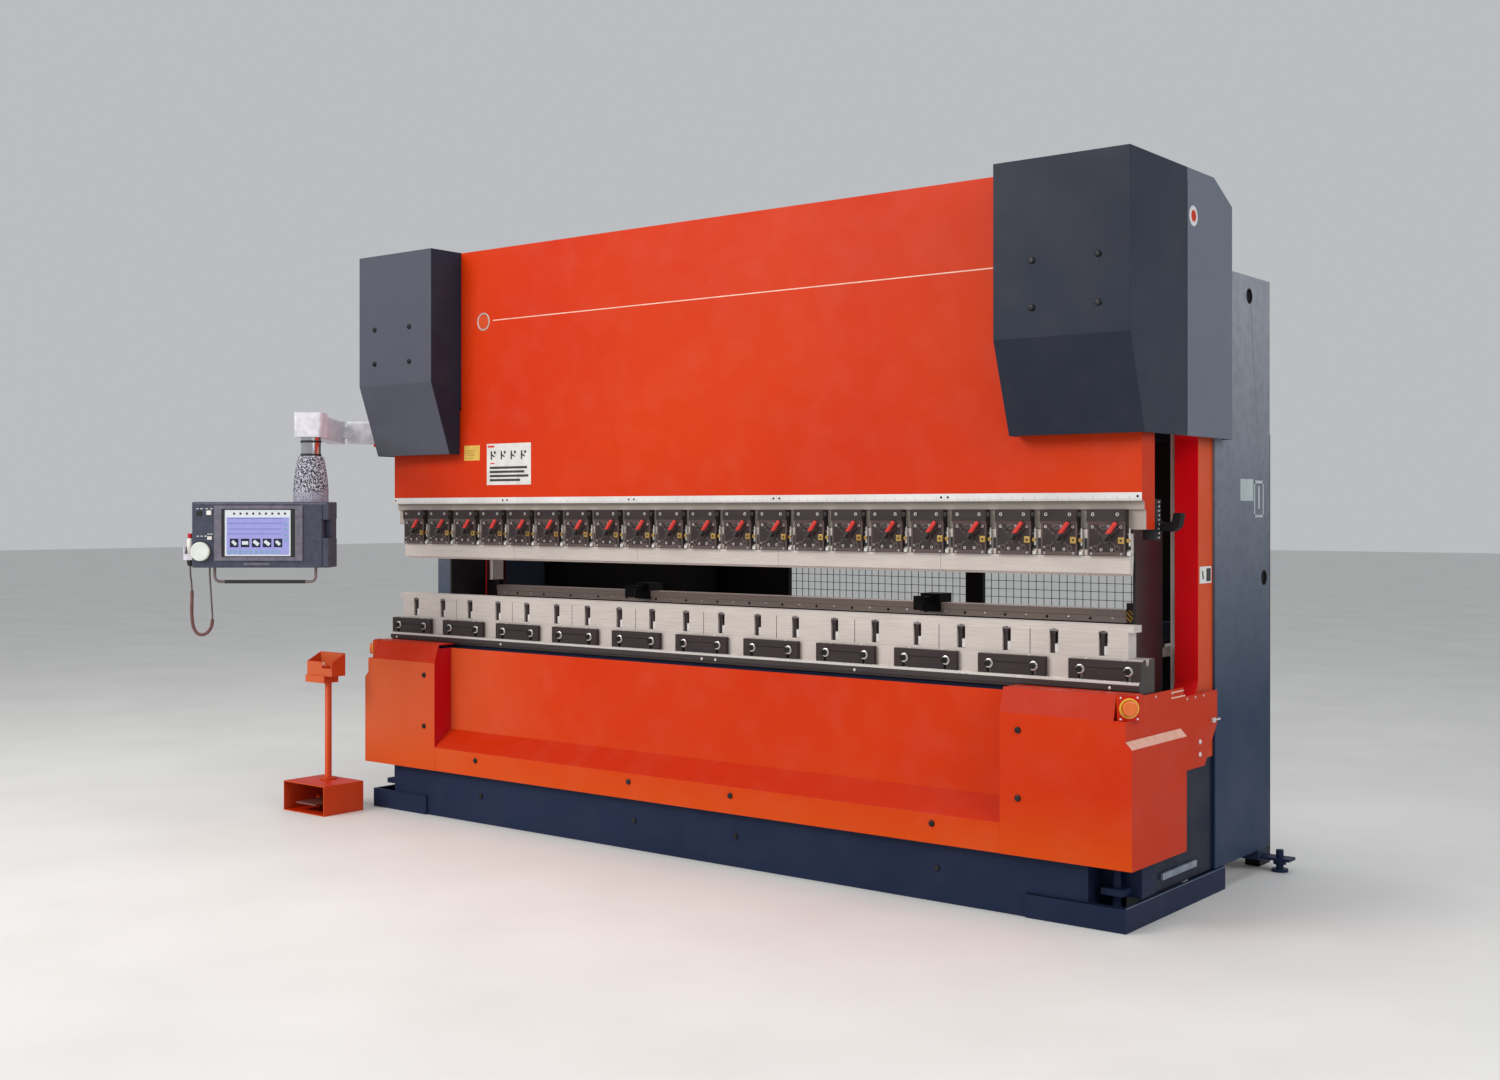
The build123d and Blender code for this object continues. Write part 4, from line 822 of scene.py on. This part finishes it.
def holder_hollow_shade():
    """Dark arc windows and screw recesses, and dark gaps beside the holders: flat dark pieces as painted
    shade.
    """
    dark = Shape()
    for x in HOLDERS:
        for i in range(7):
            a = math.radians(140 - i * 14)
            z = 1.455 + 0.046 * math.sin(a)
            dark.box((x + 0.046 * math.cos(a) - 0.0045, x + 0.046 * math.cos(a) + 0.0045),
                     (FRONT_Y - 0.0024, FRONT_Y), (z - 0.003, z + 0.003))
        for sx in (-1, 1):
            dark.rod((x + sx * 0.046, FRONT_Y - 0.0035, 1.4165), (0, 1, 0), 0.0075, 0.0012, 18)
        dark.box((x + 0.0805, x + 0.0955), (-0.0275, -0.0262), (1.412, 1.442))
        dark.box((x + 0.0805, x + 0.0865), (-0.0275, -0.0262), (1.446, 1.47))
    return dark.done("holder_hollow_shade", black_plastic, "ram_body", 0.0003, "black_plastic")


def holder_screws():
    """Bright screws: two in the ledge, two above the ribs, four low down, and the side rods."""
    bright = Shape()
    for x in HOLDERS:
        for dx, z, y, radius in (
            (-0.052, 1.548, FRONT_Y - 0.009, 0.0068), (0.05, 1.548, FRONT_Y - 0.009, 0.0068),
            (-0.058, 1.5, FRONT_Y, 0.0062), (0.06, 1.5, FRONT_Y, 0.0062),
            (-0.022, 1.413, FRONT_Y, 0.006), (0.022, 1.413, FRONT_Y, 0.006),
            (-0.062, 1.397, FRONT_Y - 0.0022, 0.0046), (0.062, 1.397, FRONT_Y - 0.0022, 0.0046),
            (-0.064, 1.42, FRONT_Y, 0.004), (0.01, 1.502, FRONT_Y - 0.0016, 0.0045),
        ):
            head = [(radius, -0.001), (radius, 0.0022), (radius * 0.6, 0.0022), (radius * 0.55, -0.0006)]
            bright.lathe(head, (x + dx, y, z), FORWARD, 18)
        bright.rod((x + 0.0915, -0.0285, 1.452), (0, 0, 1), 0.0042, 0.05, 14)
        bright.rod((x + 0.0915, -0.0285, 1.48), (0, 0, 1), 0.0028, 0.03, 12)
    return bright.done("holder_screws", bright_steel, "ram_body", 0.0002, "screw_steel")


holder_faces()
holder_hollow_shade()
holder_screws()
plates = Shape()
for x in HOLDERS:
    plates.box((x + 0.0495, x + 0.0755), (FRONT_Y - 0.0062, FRONT_Y), (1.4355, 1.4605))
    plates.box((x + 0.08, x + 0.086), (-0.029, -0.0262), (1.442, 1.456))
plates.done("holder_brass", brass, "ram_body", 0.0012, "brass")
backs = Shape()
for x in HOLDERS[:-1]:
    backs.box((x + 0.0793, x + 0.1207), (-0.02, -0.012), (1.3905, 1.4895))
backs.done("holder_backs", die_steel, "ram_body", 0.0008, "die_steel")
# dark sheets in the slots: painted shade
slots = Shape()
for x in HOLDERS[:-1]:
    slots.box((x + 0.1, x + 0.111), (-0.0212, -0.0198), (1.412, 1.456))
    slots.box((x + 0.083, x + 0.097), (-0.0478, -0.0466), (1.54, 1.556))
slots.done("holder_slot_shade", black_plastic, "ram_body", 0.0003, "black_plastic")
blocks = Shape()
for x in HOLDERS:
    blocks.box((x + 0.08, x + 0.0955), (-0.032, -0.0258), (1.3905, 1.4045))
blocks.done("holder_white_blocks", label_white, "ram_body", 0.0008, "white_plastic")
# dark discs for the holes in the brass plates: painted shade
holes = Shape()
for x in HOLDERS:
    holes.rod((x + 0.0625, FRONT_Y - 0.0063, 1.448), (0, 1, 0), 0.0046, 0.0008, 16)
holes.done("brass_hole_shade", black_plastic, "ram_body", 0, "black_plastic")

# ---- ram front
RAM_FACE = -0.0468
SHEET = (-0.0476, RAM_FACE)           # labels, from front to back
PRINT = (-0.048, -0.0474)            # the bars printed on them
RAM_BADGE = (-1.452, RAM_FACE, 2.528)
trim = Shape()
trim.box((-1.382, 1.6), (-0.0474, RAM_FACE), (2.5275, 2.5325))
trim.done("ram_pinstripe", stripe, "ram_body", 0.0001, "ram_orange")
badge = Shape()
badge.lathe([(0.046, 0), (0.046, 0.0016), (0.041, 0.0022), (0.038, 0.0012), (0.03, 0.0012)], RAM_BADGE,
            FORWARD, 48)
badge.done("ram_badge", hard("badge", (214, 206, 198), (176, 168, 160), rough=0.3, metal=0.4), "ram_body", 0,
           "scale_aluminium")
badge = Shape()
badge.lathe([(0.0375, 0), (0.0375, 0.0014), (0.034, 0.0016)], RAM_BADGE, FORWARD, 48)
badge.done("ram_badge_centre", orange, "ram_body", 0, "ram_orange")

label = Shape().box((-1.427, -1.108), SHEET, (1.694, 1.903))
label.done("label_sheet", label_white, "ram_body", 0.0002, "white_plastic")
ink = hard("label_ink", (58, 56, 58), (40, 40, 42), rough=0.55)
rows = Shape()
for i, width in enumerate((0.27, 0.25, 0.28, 0.22)):
    rows.box((-1.405, -1.405 + width), PRINT, (1.775 - i * 0.021, 1.787 - i * 0.021))
for i in range(4):
    x = -1.398 + i * 0.073
    rows.box((x, x + 0.01), PRINT, (1.822, 1.866))
    rows.box((x + 0.004, x + 0.03), PRINT, (1.838, 1.846), turned(28, "Y"))
    rows.rod((x + 0.03, -0.0477, 1.858), (0, 1, 0), 0.008, 0.0006, 16)
rows.done("label_rows", ink, "ram_body", 0.0001, "black_plastic")
bars = Shape().box((-1.42, -1.372), PRINT, (1.884, 1.894))
bars.box((-1.4, -1.37), PRINT, (1.8, 1.806))
bars.done("label_bar", lever_red, "ram_body", 0.0001, "lever_red")
label = Shape().box((-1.596, -1.48), SHEET, (1.821, 1.898))
label.done("label_small", label_yellow, "ram_body", 0.0002, "white_plastic")
rows = Shape()
for i in range(4):
    rows.box((-1.588, -1.524 + 0.008 * (i % 2)), (-0.0479, -0.0474), (1.833 + i * 0.012, 1.836 + i * 0.012))
rows.done("label_small_rows", hard("label_ochre", (170, 128, 56), (150, 110, 46)), "ram_body", 0.0001,
          "black_plastic")
pins = Shape()
for i in range(6):
    x = -2.15 + i * 0.86
    for dx in (-0.016, 0.016):
        if abs(x + dx) < 2.149:
            pins.lathe([(0.005, 0), (0.005, 0.0012), (0.003, 0.0018)], (x + dx, -0.0508, 1.6165), FORWARD, 16)
pins.done("ruler_screws", dark_screw, "ram_body", 0, "screw_steel")
chain = Shape()
for i in range(9):
    z = 1.452 + i * 0.017
    chain.box((2.118 + 0.004 * (i % 2), 2.152), (0.07, 0.118 - 0.006 * (i % 2)), (z, z + 0.0145),
              turned(6, "X"))
chain.box((2.1, 2.15), (0.0655, 0.074), (1.45, 1.61))
chain.done("drag_chain", black_plastic, "ram_body", 0.0015, "black_plastic")
links = Shape()
for i in range(9):
    z = 1.459 + i * 0.017
    links.rod((2.1525, 0.094 + 0.004 * (i % 2), z), (1, 0, 0), 0.0042, 0.004, 14)
links.done("drag_chain_pins", bright_steel, "ram_body", 0.0003, "screw_steel")
hook = Shape()
outline = [(2.11, 1.487), (2.205, 1.482), (2.228, 1.5), (2.238, 1.551), (2.222, 1.554), (2.206, 1.551),
           (2.2, 1.522), (2.186, 1.514), (2.11, 1.518)]
hook.prism(outline, 0.104, 0.15)
hook.box((2.11, 2.15), (0.0655, 0.15), (1.484, 1.52))
hook.done("cable_hook", black, "ram_body", 0.003, "black_plastic")

# ---- die and clamps
RISERS = [(i - 4.5) * 0.418 for i in range(10)]
tee = Shape()
chips = Shape()
heads = Shape()
for middle in RISERS:
    for side in (-1, 1):
        x = middle + side * 0.1045
        tee.box((x - 0.0165, x + 0.0015), (-0.025, -0.005), (1.0085, 1.093))
        tee.box((x - 0.008, x + 0.008), (-0.0365, -0.01), (1.08, 1.1035))
        heads.box((x - 0.0175, x + 0.0175), (-0.038, -0.0352), (1.093, 1.101))
        chips.box((x + 0.002, x + 0.0175), (-0.03, -0.01), (1.0085, 1.044))
tee.done("die_wedges", clamp_steel, "machine", 0.001, "clamp_steel")
heads.done("die_wedge_heads", screw_steel, "machine", 0.0012, "screw_steel")
chips.done("die_chocks", label_white, "machine", 0.001, "white_plastic")
seams = Shape()
for i in range(9):
    x = (i - 4) * 0.418
    seams.box((x - 0.0014, x + 0.0014), (-0.0335, -0.03), (1.007, 1.1))
seams.done("riser_shims", black_plastic, "machine", 0.0002, "black_plastic")

BARS = [(i - 5) * 0.4 for i in range(11)]
rims = Shape()
studs = Shape()
for middle in BARS:
    for side in (-1, 1):
        x = middle + side * 0.1
        rims.lathe([(0.0185, 0), (0.0185, 0.0016), (0.0168, 0.0026), (0.01, 0.0026)],
                   (x, -0.059, 0.955), FORWARD, 30)
        rims.lathe([(0.016, 0), (0.016, 0.0018), (0.01, 0.0022)], (x, -0.0632, 0.955), FORWARD, 30)
        studs.lathe([(0.0058, 0), (0.0058, 0.003), (0.004, 0.0042)],
                    (middle + side * 0.078, -0.049, 0.9935), (0, 0, 1), 16)
rims.done("clamp_washers", bright_steel, "machine", 0, "screw_steel")
studs.done("clamp_set_screws", bright_steel, "machine", 0, "screw_steel")
lines = Shape()
lines.box((-2.149, 2.149), (-0.0724, -0.0714), (0.906, 0.9155))
lines.box((-2.149, 2.149), (-0.0664, -0.0654), (0.9145, 0.9168))
lines.done("rail_bright_edge", bright_steel, "machine", 0.0003, "die_steel")
# dark lines along the rail's grooves: painted shade
lines = Shape()
for z in (0.8865, 0.8945):
    lines.box((-2.149, 2.149), (-0.0722, -0.0716), (z, z + 0.0016))
lines.done("rail_groove_shade", black_plastic, "machine", 0.0001, "black_plastic")
small = Shape()
for x in (-2.1, -1.3, 0.02, 0.1, 0.86, 2.03):
    small.lathe([(0.006, 0), (0.006, 0.0012), (0.0036, 0.002)], (x, -0.0718, 0.8905), FORWARD, 18)
small.done("rail_screws", bright_steel, "machine", 0, "screw_steel")

# ---- casings
GUARD_SIDE = 2.1608
SIDE_FACE = 2.147
STOP_CLEAR = 0.0303           # radius that leaves room for the 29 mm buttons to pass
COVER_BADGE = (2.195, 0.32, 2.714)
# pale orange on the step slopes and the guard's folds: painted highlights
pale = hard("highlight_strip", (228, 178, 158), (216, 160, 138), rough=0.4)
for side in (-1, 1):
    strip = Shape()
    corners = ((2.1875, 0.6842), (2.1615, 0.7122), (2.162, 0.7127), (2.188, 0.6847))
    outline = [(side * x, z) for x, z in corners]
    strip.prism(outline, -0.2125, 0.2755)
    strip.done("jog_highlight_right" if side > 0 else "jog_highlight_left", pale, "machine", 0.0001, "orange_paint")

fixings = Shape()
for y, z in ((0.462, 0.64), (0.462, 0.59)):
    fixings.lathe([(0.0105, 0), (0.0105, 0.003), (0.007, 0.006)], (GUARD_SIDE, y, z), (1, 0, 0), 24)
for y in (-0.1, 0.05, 0.2):
    fixings.lathe([(0.005, 0), (0.005, 0.0016), (0.003, 0.0024)], (GUARD_SIDE, y, 0.856), (1, 0, 0), 16)
for y in (0.34, 0.42, 0.5):
    fixings.lathe([(0.005, 0), (0.005, 0.0016), (0.003, 0.0024)], (GUARD_SIDE, y, 0.822), (1, 0, 0), 16)
fixings.done("guard_screws", bright_steel, "machine", 0, "screw_steel")
# pale strips on the guard's folds: painted highlights
lap = Shape()
lap.box((2.1609, 2.1628), (0.19, 0.303), (0.856, 0.862))
lap.box((2.1609, 2.1628), (0.19, 0.318), (0.835, 0.841))
lap.done("guard_fold_highlights", pale, "machine", 0.0005, "orange_paint")
latch = Shape()
latch.rod((2.168, 0.61, 0.715), (0, 1, 0), 0.0045, 0.075, 16)
latch.box((2.1605, 2.172), (0.575, 0.6), (0.705, 0.725))
latch.done("guard_latch", bright_steel, "machine", 0.0008, "screw_steel")

for side in (-1, 1):
    place = Matrix.Translation((side * 2.158, -0.177, 0.833)) @ turned(side * 45, "Z")
    name = "right" if side > 0 else "left"
    plate = Shape(place)
    plate.holed_plate(0.0385, 0.0455, STOP_CLEAR, -0.0016, 0.0002)
    plate.done("stop_plate_" + name, paint("stop_red", (206, 38, 24), (188, 24, 20)), "machine", 0.0006,
               "orange_paint")
    ring = Shape(place)
    ring.lathe([(0.038, 0.001), (0.038, 0.0034), (0.0345, 0.0062), (STOP_CLEAR, 0.0062), (STOP_CLEAR, 0.001)],
               (0, 0, 0), FORWARD, 48, hollow=True)
    ring.done("stop_ring_" + name, yellow, "machine", 0, "stop_plastic")
    caps = Shape(place)
    for x in (-0.0325, 0.0325):
        for z in (-0.0395, 0.0395):
            caps.lathe([(0.004, 0.0012), (0.004, 0.0026), (0.0024, 0.0036)], (x, 0, z), FORWARD, 16)
    caps.done("stop_screws_" + name, label_white, "machine", 0, "screw_steel")

disc = Shape()
disc.lathe([(0.04, 0), (0.04, 0.0012), (0.036, 0.0018)], COVER_BADGE, (1, 0, 0), 40)
disc.done("cover_badge", hard("badge_pale", (206, 206, 206), (188, 188, 190)), "machine", 0, "white_plastic")
disc = Shape()
disc.lathe([(0.023, 0.0012), (0.023, 0.0022), (0.021, 0.0024)], COVER_BADGE, (1, 0, 0), 32)
disc.done("cover_badge_centre", orange, "machine", 0, "orange_paint")

plates = Shape()
plates.box((SIDE_FACE, 2.1482), (0.92, 1.062), (1.604, 1.697))
for y, z in (((1.074, 1.084), (1.536, 1.69)), ((1.172, 1.182), (1.536, 1.69)),
             ((1.074, 1.182), (1.68, 1.692)), ((1.074, 1.182), (1.534, 1.544))):
    plates.box((SIDE_FACE, 2.148), y, z)
plates.box((SIDE_FACE, 2.148), (1.12, 1.136), (1.57, 1.668))
plates.done("side_plates", hard("plate_pale", (176, 186, 188), (160, 170, 174)), "machine", 0.0003,
            "white_plastic")
tag = Shape().box((2.135, 2.1362), (0.522, 0.64), (1.268, 1.336))
tag.done("frame_tag", label_white, "machine", 0.0003, "white_plastic")
tag = Shape().box((2.1358, 2.1368), (0.588, 0.632), (1.276, 1.328))
tag.box((2.1358, 2.1368), (0.548, 0.56), (1.284, 1.318), turned(14, "X"))
tag.done("frame_tag_ink", ink, "machine", 0.0002, "black_plastic")
# dark plugs in the lifting holes: painted shade inside the holes
sleeves = Shape()
for y, z in ((1.021, 2.477), (1.189, 1.272)):
    sleeves.lathe([(0.033, 2.135), (0.033, 2.1476), (0.0302, 2.1476), (0.0302, 2.04)],
                  (0, y, z), (1, 0, 0), 36)
sleeves.done("hole_shade_plugs", black_plastic, "machine", 0, "black_plastic")
bar = Shape().box((2.135, 2.147), (0.15, 0.47), (0.14, 0.166))
bar.done("frame_foot_bar", hard("bar_grey", (150, 160, 172), (120, 130, 144), metal=0.4), "machine", 0.002,
         "navy_paint")

# ---- backgauge
# dark discs for the beam's holes are painted shade; the others are screws
dots = Shape()
lights = Shape()
for i in range(37):
    x = -1.8 + i * 0.1
    shape = dots if i % 2 else lights
    shape.lathe([(0.0065, 0), (0.0065, 0.001), (0.004, 0.0016)], (x, 0.43, 1.117), FORWARD, 18)
dots.done("beam_hole_shade", black_plastic, "backgauge_beam", 0, "black_plastic")
lights.done("beam_screws", bright_steel, "backgauge_beam", 0, "screw_steel")


def hazard():
    m = Mat("hazard", rough=0.45)
    run = m.math("ADD", m.axis("X"), m.axis("Z"))
    black_bar = m.below(m.math("MODULO", run, 0.02), 0.01)
    colour = m.mix(black_bar, (222, 168, 30), (26, 24, 24))
    return m.finish(colour, m.ramp(m.noise(30.0), 0.4, 0.5), m.noise(300.0), 0.05, 0.0003)


tape = Shape().box((1.868, 1.928), (0.4188, 0.4199), (1.108, 1.156))
tape.done("hazard_tape", hazard(), "backgauge", 0.0002, "white_plastic")

for side in (-1, 1):
    bed = Shape().box(tuple(sorted((side * 1.745, side * 2.14))), (-0.174, 0.742), (0.0005, 0.004))
    bed.done("tray_floor_right" if side > 0 else "tray_floor_left", black, "machine", 0.0005, "navy_paint")
# pale lines on the tray rims' edges: painted highlights
edges = Shape()
edges.box((2.15, 2.1504), (-0.185, 0.75), (0.091, 0.0945))
edges.box((1.735, 2.149), (-0.186, -0.1856), (0.091, 0.0945))
edges.done("tray_rim_light", hard("rim_highlight", (96, 106, 124), (80, 90, 108)), "machine", 0.0001, "navy_paint")
seam = Shape().box((2.195, 2.1956), (0.2608, 0.264), (1.862, 2.85))
seam.done("cover_seam_line", black_plastic, "machine", 0, "black_plastic")


# ---- rear guard
GUARD_Y = (1.353, 1.383)
def mesh_bay(edge, wires, low_x, high_x, low_y, high_y, low_z=0.06, high_z=1.9, pitch=0.04):
    """A tube frame and its wire grid."""
    tube, wire = 0.03, 0.0013
    for x, z in (((low_x, low_x + tube), (low_z, high_z)), ((high_x - tube, high_x), (low_z, high_z)),
                 ((low_x + tube, high_x - tube), (low_z, low_z + tube)),
                 ((low_x + tube, high_x - tube), (high_z - tube, high_z))):
        edge.box(x, (low_y, high_y), z)
    middle = (low_y + high_y) / 2
    left, right, bottom, top = low_x + tube, high_x - tube, low_z + tube, high_z - tube
    count = int((right - left) / pitch)
    for i in range(1, count):
        x = left + i * (right - left) / count
        wires.box((x - wire, x + wire), (middle - wire, middle + wire), (bottom - 0.004, top + 0.004))
    rows = int((top - bottom) / pitch)
    for i in range(1, rows):
        z = bottom + i * (top - bottom) / rows
        wires.box((left - 0.004, right + 0.004), (middle + 0.001, middle + 0.0034), (z - wire, z + wire))


edge, wires = Shape(), Shape()
mesh_bay(edge, wires, 0.608, 1.545, 1.3833, 1.4033, high_z=1.89)
edge.box((1.545, 2.038), (1.3833, 1.4033), (0.06, 1.89))
made = edge.done("mesh_door_frame", black, "guard_door_body", 0.002, "black_paint")
wires.done("mesh_door_wires", black, "guard_door_body", 0, "black_paint")
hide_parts("guard_door")

edge, wires = Shape(), Shape()
for side in (-1, 1):
    edge.box(tuple(sorted((side * 2.034, side * 2.102))), (1.257, 1.383), (0, 1.9))
    edge.box((side * 0.618 - 0.034, side * 0.618 + 0.034), GUARD_Y, (0, 1.9))
edge.box((-2.034, 2.034), GUARD_Y, (1.9, 1.94))
mesh_bay(edge, wires, -0.584, 0.584, *GUARD_Y)
edge.box((-2.034, -0.652), (1.364, 1.372), (0.06, 1.9))
for x in ((-2.034, -2.004), (-0.682, -0.652), (-1.358, -1.328)):
    edge.box(x, GUARD_Y, (0.06, 1.9))
for z in ((0.06, 0.09), (1.87, 1.9), (0.965, 0.995)):
    edge.box((-2.034, -0.652), GUARD_Y, z)
made = edge.done("rear_guard_frame", black, "machine", 0.002, "black_paint")
wires.done("rear_guard_wires", black, "machine", 0, "black_paint")
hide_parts("rear_guard")

rivets = Shape()
for x in (-1.99, -1.69, -1.343, -1.0, -0.697):
    y = 1.3722 if x in (-1.69, -1.0) else 1.383       # on the sheet or on its frame
    for z in (0.105, 0.525, 0.95, 1.01, 1.43, 1.855):
        rivets.lathe([(0.007, 0), (0.0065, 0.0024), (0.004, 0.004)], (x, y, z), (0, 1, 0), 14)
rivets.done("rear_rivets", screw_steel, "machine", 0, "screw_steel")
louvres = Shape()
for x in (-1.84, -1.16):
    for i in range(9):
        z = 1.2 + i * 0.042
        outline = [(1.3715, z), (1.381, z + 0.006), (1.381, z + 0.01), (1.3715, z + 0.024)]
        louvres.prism(outline, x - 0.17, x + 0.17, "X")
louvres.done("rear_louvres", charcoal, "machine", 0.0008, "black_paint")
latch = Shape().box((0.64, 0.672), (1.403, 1.4033), (0.98, 1.1))
latch.box((0.648, 0.662), (1.38, 1.4033), (1.02, 1.06))
latch.done("mesh_door_latch", bright_steel, "guard_door_body", 0.0001, "screw_steel")

# ---- electrical cabinet door
DOOR_X = -2.4393
louvres = Shape()
for base in (0.36, 1.62):
    for i in range(7):
        z = base + i * 0.036
        outline = [(DOOR_X + 0.001, z), (DOOR_X - 0.01, z + 0.005), (DOOR_X - 0.01, z + 0.009),
                   (DOOR_X + 0.001, z + 0.022)]
        louvres.prism(outline, 0.7, 1.05)
louvres.done("cabinet_louvres", grey, "cabinet_door_body", 0.0008, "grey_paint")
fittings = Shape()
fittings.box((DOOR_X - 0.006, DOOR_X + 0.001), (1.16, 1.2), (0.98, 1.16))
fittings.box((DOOR_X - 0.034, DOOR_X - 0.02), (1.168, 1.192), (0.98, 1.13))
fittings.rod((DOOR_X - 0.014, 1.18, 1.115), (1, 0, 0), 0.009, 0.03, 20)
for z in (0.3, 1.05, 1.8):
    fittings.rod((DOOR_X - 0.004, 0.52, z), (0, 0, 1), 0.0075, 0.09, 20)
fittings.done("cabinet_fittings", black_plastic, "cabinet_door_body", 0.0012, "black_plastic")
switch = Shape().box((DOOR_X - 0.005, DOOR_X + 0.001), (0.8, 0.9), (1.3, 1.4))
switch.done("cabinet_switch_plate", yellow, "cabinet_door_body", 0.001, "stop_plastic")
switch = Shape()
switch.lathe([(0.034, 0.004), (0.034, 0.01), (0.03, 0.014)], (DOOR_X, 0.85, 1.35), (-1, 0, 0), 36)
switch.box((DOOR_X - 0.04, DOOR_X - 0.012), (0.842, 0.858), (1.32, 1.38))
switch.done("cabinet_switch", hard("switch_red", (200, 26, 24), (176, 18, 18), rough=0.35),
            "cabinet_door_body", 0.0008, "stop_plastic")

# ---- stage and light
def floor_material():
    m = Mat("floor", rough=0.6)
    colour = m.mix(m.ramp(m.noise(1.2, 5.0), 0.0, 1.0, 0.3, 0.7), (222, 221, 218), (214, 213, 210))
    return m.finish(colour, m.ramp(m.noise(4.0, 4.0), 0.5, 0.7), m.noise(90.0, 3.0), 0.05, 0.001)


mesh = bpy.data.meshes.new("floor")
bm = bmesh.new()
bmesh.ops.create_grid(bm, x_segments=8, y_segments=8, size=60)
bmesh.ops.translate(bm, verts=bm.verts, vec=(0, 0, -0.0005))
bm.to_mesh(mesh)
bm.free()
mesh.materials.append(floor_material())
floor = add("floor", mesh)

world = bpy.data.worlds.new("studio")
bpy.context.scene.world = world
world.use_nodes = True
world.node_tree.nodes["Background"].inputs["Color"].default_value = (0.8, 0.82, 0.85, 1)
world.node_tree.nodes["Background"].inputs["Strength"].default_value = 0.62
bpy.context.scene.view_settings.view_transform = "Standard"


def lamp(name, place, target, size, power, colour=(1, 1, 1)):
    data = bpy.data.lights.new(name, "AREA")
    data.shape = "RECTANGLE"
    data.size, data.size_y = size
    data.energy = power
    data.color = colour
    made = add(name, data)
    made.location = place
    made.rotation_euler = (Vector(target) - Vector(place)).to_track_quat("-Z", "Y").to_euler()


lamp("key", (-3.5, -7.5, 6.0), (0, 0, 1.4), (5, 4), 520, (1.0, 0.97, 0.93))
lamp("right", (8.0, -2.0, 4.5), (1.5, 0, 1.2), (3, 4), 200, (0.95, 0.97, 1.0))
lamp("top", (0, 0.5, 7.5), (0, 0, 0), (7, 4), 220)
